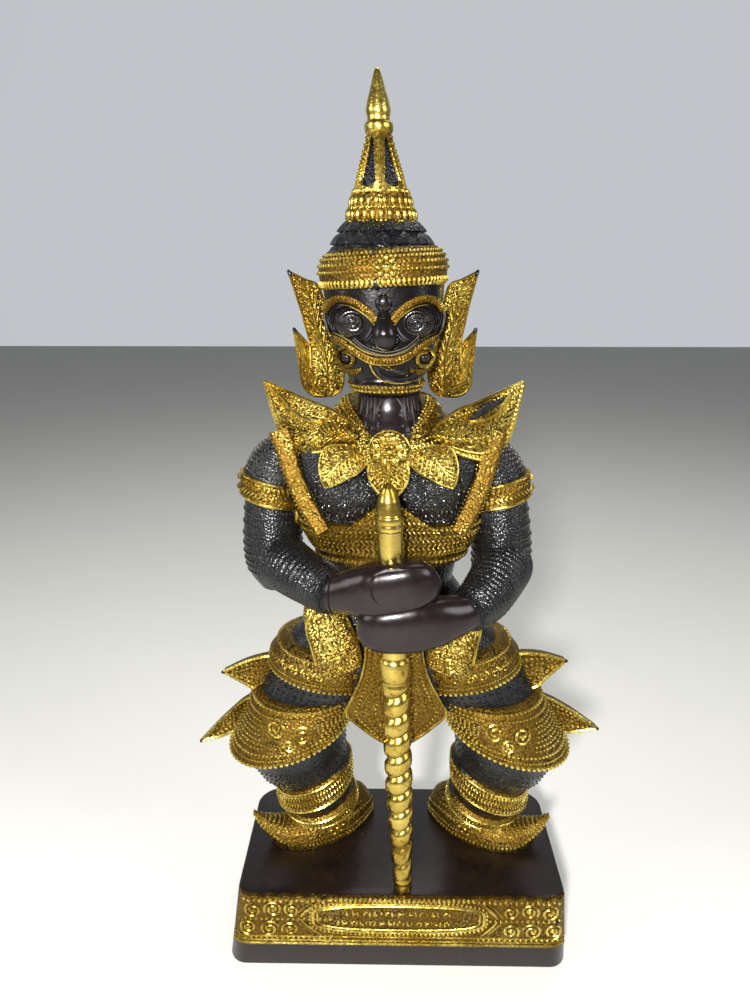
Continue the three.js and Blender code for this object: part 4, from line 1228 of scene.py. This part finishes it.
def build_shoes():
    piece = Piece("shoes", "gilding", "ground", "gilding")
    rows = [
        [20.4, 30, 0, 4.6, 9], [22, 28, 0, 8.6, 12.4], [24, 25.4, 0, 10.8, 15], [30, 19, 0, 13.6, 17.6], [36, 12.6, 0, 14.8, 18.2],
        [43, 7.0, 0.6, 14.6, 16.6], [50, 2.4, 1.0, 13.2, 13.4], [55, 0.4, 1.4, 11.8, 11.6], [59, -1, 2, 10.2, 10.2],
        [63, -1.8, 4.2, 8.4, 8.6], [66.4, -2.4, 7, 6.2, 6.8], [69.4, -2.6, 9.6, 4.4, 5.2], [72, -2.8, 12, 2.8, 3.8], [74.4, -2.8, 15.6, 1.4, 2.0],
        [75.2, -2.8, 17.6, 0.7, 0.9],
    ]
    rings = []
    for k, (x, y, rise, width, height) in enumerate(rows):
        before = rows[max(k - 1, 0)]
        after = rows[min(k + 1, len(rows) - 1)]
        ahead = Vector((after[0] - before[0], after[1] - before[1], 0)).normalized()
        rings.append((Vector((x, y, SOLE + rise)), Vector((ahead.y, -ahead.x, 0)) * width, Vector((0, 0, height))))
    shoe = Skin(rings)
    form = shoe.form(64, 4)
    bmesh.ops.bisect_plane(form, geom=form.verts[:] + form.edges[:] + form.faces[:], plane_co=(0, 0, SOLE), plane_no=(0, 0, -1),
                           clear_outer=True)
    bmesh.ops.holes_fill(form, edges=[edge for edge in form.edges if edge.is_boundary])
    piece.add(form, 0, mirror=True, move=SHIFT_LEGS / 2)
    spots = []
    for angle, radius in [(84, 0.95), (76, 0.65), (62, 0.8)]:
        line = [shoe.at(math.radians(angle), mix(0.06, 0.95, n / 70), 0.1) for n in range(71)]
        spots += beads_on([p for p in line if p.z > SOLE + 0.6], 2.1 if radius > 0.7 else 1.6, radius)
    for angle in range(-60, 61, 10):
        line = [shoe.at(math.radians(angle), mix(0.2, 0.9, n / 50), 0.0) for n in range(51)]
        spots += [(spot, 0.72) for spot, _ in evenly(line, 2.4)]
    piece.beads(spots, 1, mirror=True, move=SHIFT_LEGS / 2)
    flower = [(shoe.at(math.radians(66), 0.34, 0.3), 1.5)]
    for k in range(6):
        turn = k * TAU / 6
        flower.append((shoe.at(math.radians(66 + 8.5 * math.sin(turn)), 0.34 + 0.025 * math.cos(turn), 0.2), 0.95))
    piece.beads(flower, 1, True, mirror=True, move=SHIFT_LEGS / 2)
    piece.finish()


# Club


def build_club():
    piece = Piece("club_body", "brass", "brass")
    low, high = 46.0, 152.0

    def radius_at(z):
        rows = [(SOLE, 4.3), (44.4, 4.3), (46.0, 4.7), (99, 6.3), (152, 6.4), (154, 5.9), (155.4, 6.5), (158, 6.8), (161.6, 6.8), (163.6, 6.5),
                (165, 5.8), (166, 5.5), (222.4, 5.4), (223.2, 5.9), (224.6, 6.0), (226.0, 5.7), (227.2, 5.9), (228.6, 5.8), (229.6, 5.1),
                (232, 4.95), (235, 4.5), (238, 3.6), (240.4, 2.4), (242.0, 1.1), (242.6, 0.2)]
        for (z0, r0), (z1, r1) in zip(rows, rows[1:]):
            if z <= z1:
                return mix(r0, r1, (z - z0) / (z1 - z0))
        return rows[-1][1]

    def place(angle, t):
        z = mix(SOLE, 242.6, t)
        radius = radius_at(z)
        if low < z < high:
            turn = CLUB_TURNS * (z - low) / (high - low)
            wave = abs(math.sin((angle - TAU * turn) * 0.5))
            radius *= 1 - 0.30 * (1 - wave) ** 1.6 * smoothstep(low, low + 3, z) * smoothstep(high, high - 3, z)
        x = radius * math.sin(angle)
        y = -radius * math.cos(angle)
        return Vector((x + CLUB_X - (z - PLINTH_TOP) * CLUB_LEAN, y + CLUB_Y - (z - PLINTH_TOP) * CLUB_BACK, z))

    piece.add(tube(place, 44, 620), 0)
    obj = piece.finish(leaning=False)
    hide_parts("club")


# Plinth


def spread(z, side):
    """How far the plinth's surface has spread at a height."""
    return (1 - z / PLINTH_TOP) * side


def front_y(z):
    return -PLINTH_DEPTH / 2 - spread(z, SPLAY_FRONT)


def build_plinth():
    piece = Piece("plinth_block", "dark_bronze", "base")
    bm = bmesh.new()
    bmesh.ops.create_cube(bm, size=1.0)
    bmesh.ops.scale(bm, vec=(PLINTH_WIDTH, PLINTH_DEPTH, PLINTH_TOP), verts=bm.verts)
    bmesh.ops.translate(bm, vec=(0, 0, PLINTH_TOP / 2), verts=bm.verts)
    for back, radius in ((True, 13.0), (False, 8.0)):
        edges = [e for e in bm.edges if abs(e.verts[0].co.z - e.verts[1].co.z) > 30 and (e.verts[0].co.y > 0) == back
                 and abs(e.verts[0].co.x) > 60 and e.calc_face_angle(0) > 1.0]
        bmesh.ops.bevel(bm, geom=edges, offset=radius, offset_type="OFFSET", segments=10, profile=0.5, affect="EDGES", material=-1)
    edges = [e for e in bm.edges if abs(e.verts[0].co.z - e.verts[1].co.z) < 0.1 and e.verts[0].co.z > 39 and e.calc_face_angle(0) > 1.0]
    bmesh.ops.bevel(bm, geom=edges, offset=1.3, offset_type="OFFSET", segments=3, profile=0.5, affect="EDGES", material=-1)
    edges = [e for e in bm.edges if abs(e.verts[0].co.z - e.verts[1].co.z) < 0.1 and e.verts[0].co.z < 0.1 and e.calc_face_angle(0) > 1.0]
    bmesh.ops.bevel(bm, geom=edges, offset=0.8, offset_type="OFFSET", segments=2, profile=0.5, affect="EDGES", material=-1)
    for vert in bm.verts:
        p = vert.co
        p.x += (p.x / (PLINTH_WIDTH / 2)) * spread(p.z, SPLAY_LEFT if p.x < 0 else SPLAY_RIGHT)
        p.y += (p.y / (PLINTH_DEPTH / 2)) * spread(p.z, SPLAY_FRONT if p.y < 0 else SPLAY_BACK)
    piece.add(bm, 0)
    obj = piece.finish(leaning=False)
    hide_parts("plinth")


def build_panel():
    """The gilded relief on the plinth's front: crest, cartouche, bead borders, scrolls and rows of short strokes."""
    piece = Piece("plinth_panel", "gilding", "ground", "gilding", "granular", "base")
    ground, gold, grains, dark = 0, 1, 2, 3
    left, right = -PLINTH_WIDTH / 2 + 0.9, PLINTH_WIDTH / 2 - 0.9

    def crest(x):
        if -34 < x < 35:
            return 0.2
        return 0.9 * abs(math.sin(x * 0.42)) + 0.5 * math.sin(x * 0.9)

    def face(x, z, lift=0.0):
        """The ground of the relief at x and z, bent back towards both ends."""
        edge = min(x - left + spread(z, SPLAY_LEFT), right + spread(z, SPLAY_RIGHT) - x)
        bend = 3.4 * max(0.0, 1 - edge / 7.0) ** 2
        return Vector((x, front_y(z) - 1.3 + bend - lift, z))

    def place(u, v):
        z = mix(PANEL_BOTTOM, PLINTH_TOP, v)
        x = mix(left - spread(z, SPLAY_LEFT), right + spread(z, SPLAY_RIGHT), u)
        if v > 0.9:
            z += crest(x) * (v - 0.9) / 0.1
        return face(x, z)

    bm = bmesh.new()
    made = bmesh.ops.create_grid(bm, x_segments=160, y_segments=28, size=0.5)
    for vert in made["verts"]:
        vert.co = place(vert.co.x + 0.5, vert.co.y + 0.5)
    back = bmesh.ops.extrude_face_region(bm, geom=bm.faces[:])
    for item in back["geom"]:
        if isinstance(item, bmesh.types.BMVert):
            item.co.y += 2.0
    piece.add(bm, ground)

    def oval(long_half, mid, rise, count=96):
        points = []
        for k in range(count):
            angle = TAU * k / count
            x = math.cos(angle)
            z = math.sin(angle)
            size = (abs(x) ** 5 + abs(z) ** 2.2) ** (-0.3)
            points.append(face(long_half * x * size if abs(long_half * x * size) < long_half else math.copysign(long_half, x),
                               mid + rise * z * min(size, 1.12), 0.2))
        return points + points[:1]

    cartouche = oval(40.5, 29.2, 8.0)
    cartouche = [p + Vector((-1.2, 0, 0)) for p in cartouche]
    piece.add(cord(cartouche, 0.8, 6), gold)
    inner = [Vector((mix(-1.2, p.x, 0.95), p.y, mix(29.2, p.z, 0.83))) for p in cartouche]
    piece.add(cord(inner, 0.45, 5), gold)
    border = [Vector((mix(-1.2, p.x, 1.035), p.y, mix(29.2, p.z, 1.18))) for p in cartouche]
    piece.beads([spot for spot in beads_on(border, 2.1, 0.85, True) if spot[0].z < 39.5], gold)
    piece.beads(beads_on([face(x, 39.4, 0.0) for x in (-33, 34)], 2.3, 1.15), gold)
    for x0, x1, z0, z1 in [(-47.5, -37.0, 30, 39.6), (-47.5, -37.6, 28.4, 19.4), (45.2, 36.6, 30, 39.6), (45.2, 37.6, 28.4, 19.4)]:
        line = [face(mix(x0, x1, k / 16), mix(z0, z1, (k / 16) ** 0.8), 0.4) for k in range(17)]
        piece.add(cord(line, 0.8, 6, taper=True), gold)
        line = [face(mix(x0, x1, k / 16) + math.copysign(2.6, x0), mix(z0, z1, (k / 16) ** 0.8), 0.2) for k in range(17)]
        piece.add(cord(line, 0.5, 5, taper=True), gold)
    # Two rows of short raised strokes inside the cartouche
    strokes = []
    for row, (z, x0, x1, gap) in enumerate([(31.6, -27, 25, 2.7), (26.2, -31, 25, 2.2)]):
        count = int((x1 - x0) / gap)
        for k in range(count):
            x = x0 + gap * (k + 0.5) + 0.3 * math.sin(k * 2.3)
            tall = 1.7 + 0.6 * math.sin(k * 1.7 + row)
            way = Vector((0.3 * math.sin(k * 3.1 + row), 0, 1))
            strokes.append((face(x, z + 0.3 * math.sin(k * 1.3), 0.05), way, (tall, 0.55, 0.55)))
            if k % 2:
                strokes.append((face(x + 0.8, z + 0.9 * math.cos(k * 1.9), 0.05), Vector((1, 0, 0.4)), (0.9, 0.45, 0.5)))
    piece.beads(strokes, gold)
    # Scrolls and bosses on both ends
    for cx, cz, r, turns, start, hand in [
        (-70, 33, 4.2, 1.7, 90, 1), (-60.5, 33.6, 4.4, 1.8, 200, -1), (-51.6, 33.2, 3.8, 1.6, 90, 1),
        (-72.6, 23.4, 4.2, 1.7, 270, -1), (-62.6, 22.4, 4.6, 1.8, 20, 1), (-52.6, 22.4, 4.0, 1.6, 200, -1),
        (70, 33, 4.2, 1.7, 90, -1), (60.5, 33.6, 4.4, 1.8, 330, 1), (51.4, 33.2, 3.8, 1.6, 90, -1),
        (72, 22.6, 4.4, 1.8, 270, 1), (62.2, 22.4, 4.6, 1.8, 160, -1), (52, 22.4, 4.0, 1.6, 330, 1),
    ]:
        curl = [face(x, z, 0.2) for x, z in spiral(cx, cz, r, turns, start, hand, 0.15, 34)]
        piece.add(cord(curl, 0.62, 5), gold)
        piece.beads([(face(cx, cz, 0.3), 1.0)], gold)
    bosses = []
    for k in range(60):
        x = mix(left + 1.5, right - 1.5, (k + 0.5) / 60)
        if -34 < x < 35:
            continue
        bosses.append((face(x, 38.2 + crest(x) * 0.7, 0.0), 1.15 if k % 2 else 0.85))
        bosses.append((face(x + 0.6, 28.2, 0.0), 0.8))
        bosses.append((face(x + 0.3, 17.4, 0.0), 0.8))
    piece.beads(bosses, gold)
    for z, radius in [(14.4, 0.85), (16.0, 0.5), (18.2, 0.45)]:
        piece.add(cord([face(mix(left - 3.2, right + 1.2, k / 40), z, 0.0) for k in range(41)], radius, 6), gold)
    piece.beads([(face(73.6, 27.2, 0.0), Vector((1, 0, 0.4)), (1.6, 0.7, 0.6))], dark)
    piece.finish(leaning=False)


# Stage


def build_stage():
    studio = bpy.context.scene.statue_studio
    bm = bmesh.new()
    bmesh.ops.create_grid(bm, x_segments=1, y_segments=1, size=3.0)
    mesh = bpy.data.meshes.new("floor")
    bm.to_mesh(mesh)
    bm.free()
    floor = bpy.data.objects.new("floor", mesh)
    bpy.context.scene.collection.objects.link(floor)
    paper = Finish("floor_paper", Roughness=0.7)
    tone = paper.blend(paper.noise(60.0, 2.0), studio.floor, [c * 0.96 for c in studio.floor])
    mesh.materials.append(paper.set(Base_Color=tone))

    world = bpy.data.worlds.new("studio")
    world.use_nodes = True
    sky = world.node_tree.nodes["Background"]
    sky.inputs["Color"].default_value = (*studio.air, 1.0)
    # Brighter behind the statue than in front, so that the metal keeps its contrast
    place = world.node_tree.nodes.new("ShaderNodeTexCoord")
    split = world.node_tree.nodes.new("ShaderNodeSeparateXYZ")
    ramp = world.node_tree.nodes.new("ShaderNodeMapRange")
    for key, value in {"From Min": 0.1, "From Max": 0.9, "To Min": studio.air_strength, "To Max": studio.back_strength}.items():
        ramp.inputs[key].default_value = value
    world.node_tree.links.new(place.outputs["Generated"], split.inputs["Vector"])
    world.node_tree.links.new(split.outputs["Y"], ramp.inputs["Value"])
    world.node_tree.links.new(ramp.outputs["Result"], sky.inputs["Strength"])
    bpy.context.scene.world = world
    bpy.context.scene.view_settings.view_transform = "Standard"

    aim = Vector((-0.004, 0.0, 0.2))
    for name, place, size, power in [
        ("key_light", (-0.10, -0.60, 0.46), 0.06, studio.key),
        ("right_light", (0.8, -0.4, 0.6), 0.5, studio.fill),
        ("left_light", (-0.8, -0.3, 0.5), 0.5, studio.fill * 0.8),
        ("top_light", (0.1, 0.4, 1.1), 0.7, studio.fill),
    ]:
        light = bpy.data.lights.new(name, "AREA")
        light.shape = "DISK"
        light.size = size
        light.energy = power
        lamp = bpy.data.objects.new(name, light)
        lamp.location = place
        lamp.rotation_mode = "QUATERNION"
        lamp.rotation_quaternion = (aim - Vector(place)).to_track_quat("-Z", "Y")
        bpy.context.scene.collection.objects.link(lamp)

    camera = bpy.data.cameras.new("camera")
    camera.lens = 27.04
    camera.sensor_width = 36.0
    camera.clip_start = 0.01
    view = bpy.data.objects.new("camera", camera)
    view.location = (-0.0078, -0.3224, 0.3229)
    pitch, yaw = math.radians(17.1), math.radians(-0.915)
    ahead = Vector((math.sin(yaw) * math.cos(pitch), math.cos(yaw) * math.cos(pitch), -math.sin(pitch)))
    view.rotation_mode = "QUATERNION"
    view.rotation_quaternion = ahead.to_track_quat("-Z", "Y")
    bpy.context.scene.collection.objects.link(view)
    bpy.context.scene.camera = view


# What a user can change


def colour(name, description, default):
    return bpy.props.FloatVectorProperty(name=name, description=description, subtype="COLOR", size=3, min=0.0, max=1.0,
                                         default=default)


class StatueColours(bpy.types.PropertyGroup):
    """Colours of the statue's finishes"""

    gold_pale: colour("Pale gold", "The gilding where it is brightest", (0.80, 0.62, 0.15))
    gold_deep: colour("Deep gold", "The gilding in broad warmer patches", (0.50, 0.34, 0.05))
    gold_brown: colour("Hollow brown", "The hollows between the grains of the gilding", (0.060, 0.032, 0.005))
    # The stain colour also serves as the painted shade that darkens the gilded ground beneath the beads.
    gold_stain_and_shade: colour("Stain", "Old stain on the gilding", (0.15, 0.085, 0.014))
    cloth: colour("Dark cloth", "The dark studded cloth of sleeves and skirts", (0.007, 0.007, 0.008))
    studs: colour("Studs", "The small bright studs on the dark cloth", (0.16, 0.145, 0.12))
    skin: colour("Hands and neck", "The bare dark metal of hands and neck", (0.010, 0.0055, 0.006))
    face: colour("Face", "The dark glossy face", (0.006, 0.0045, 0.005))
    base: colour("Plinth", "The plinth's patina", (0.008, 0.004, 0.0035))
    base_dust: colour("Plinth dust", "Thin dust on the plinth", (0.035, 0.022, 0.018))
    dust: colour("Dust", "Bluish grey dust in the dark parts", (0.035, 0.038, 0.033))


class StatueStudio(bpy.types.PropertyGroup):
    """Floor and light around the statue"""

    floor: colour("Floor", "The floor's colour", (0.72, 0.71, 0.66))
    air: colour("Surrounding light", "The colour of the light from all around", (0.86, 0.90, 0.94))
    air_strength: bpy.props.FloatProperty(name="Surrounding strength", description="How bright the surroundings are", default=0.10, min=0.0)
    back_strength: bpy.props.FloatProperty(name="Backdrop strength", description="How bright the surroundings are behind the statue", default=0.62, min=0.0)
    key: bpy.props.FloatProperty(name="Key light", description="Power of the small light beside the camera", default=9.0, min=0.0, unit="POWER")
    fill: bpy.props.FloatProperty(name="Soft lights", description="Power of the large soft lights", default=4.0, min=0.0, unit="POWER")


PIECES = [
    ("crown", "Crown", "Spire with ribs, drops, petalled cap and beaded diadem", build_crown),
    ("head", "Head", "Dark face with ringed eyes, toothed brows and moustache", build_head),
    ("ears", "Ear flames", "Flame ornaments beside the head", build_ears),
    ("neck", "Neck", "Grooved bell of the neck", build_neck),
    ("trunk", "Trunk", "Chest, belt and hips", build_trunk),
    ("collar", "Collar", "Collar with flower, leaves and shoulder wings", build_collar),
    ("straps", "Straps", "Straps from the shoulders to the belt", build_straps),
    ("arms", "Arms", "Studded sleeves, armbands and hands", build_arms),
    ("upper_skirt", "Upper skirt", "Gilded band over the hips and the dark cloth below it", build_upper_skirt),
    ("lower_skirt", "Lower skirt", "Beaded cuffs over the thighs", build_lower_skirt),
    ("wings", "Skirt wings", "Pointed wings beside both skirts", build_wings),
    ("apron", "Apron", "Front apron and scrolled hip panels", build_apron),
    ("legs", "Legs", "Knee rolls, greaves and anklets", build_legs),
    ("shoes", "Shoes", "Beaded shoes with upturned toes", build_shoes),
    ("club", "Club", "Twisted club between the hands", build_club),
    ("plinth", "Plinth", "The plinth's block", build_plinth),
    ("panel", "Plinth panel", "Gilded relief on the plinth's front", build_panel),
    ("stage", "Stage", "Floor, lights and camera", build_stage),
]


def operator_for(key, label, words, build):
    """An operator that builds one piece."""

    def execute(self, context):
        build()
        return {"FINISHED"}

    return type("STATUE_OT_" + key, (bpy.types.Operator,), {
        "bl_idname": "statue." + key,
        "bl_label": label,
        "__doc__": words,
        "execute": execute,
    })


OPERATORS = [operator_for(*row) for row in PIECES]


class STATUE_PT_panel(bpy.types.Panel):
    """The statue's pieces and settings"""

    bl_idname = "STATUE_PT_panel"
    bl_label = "Guardian Statue"
    bl_space_type = "VIEW_3D"
    bl_region_type = "UI"
    bl_category = "Statue"

    def draw(self, context):
        for settings in (context.scene.statue_colours, context.scene.statue_studio):
            for key in settings.__annotations__:
                self.layout.prop(settings, key)
        for operator in OPERATORS:
            self.layout.operator(operator.bl_idname)


CLASSES = [StatueColours, StatueStudio, *OPERATORS, STATUE_PT_panel]


def register():
    for made in CLASSES:
        bpy.utils.register_class(made)
    bpy.types.Scene.statue_colours = bpy.props.PointerProperty(type=StatueColours)
    bpy.types.Scene.statue_studio = bpy.props.PointerProperty(type=StatueStudio)


def unregister():
    del bpy.types.Scene.statue_studio
    del bpy.types.Scene.statue_colours
    for made in reversed(CLASSES):
        bpy.utils.unregister_class(made)


def main():
    register()
    for key, _, _, _ in PIECES:
        getattr(bpy.ops.statue, key)()
    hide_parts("figure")


if __name__ == "__main__":
    main()
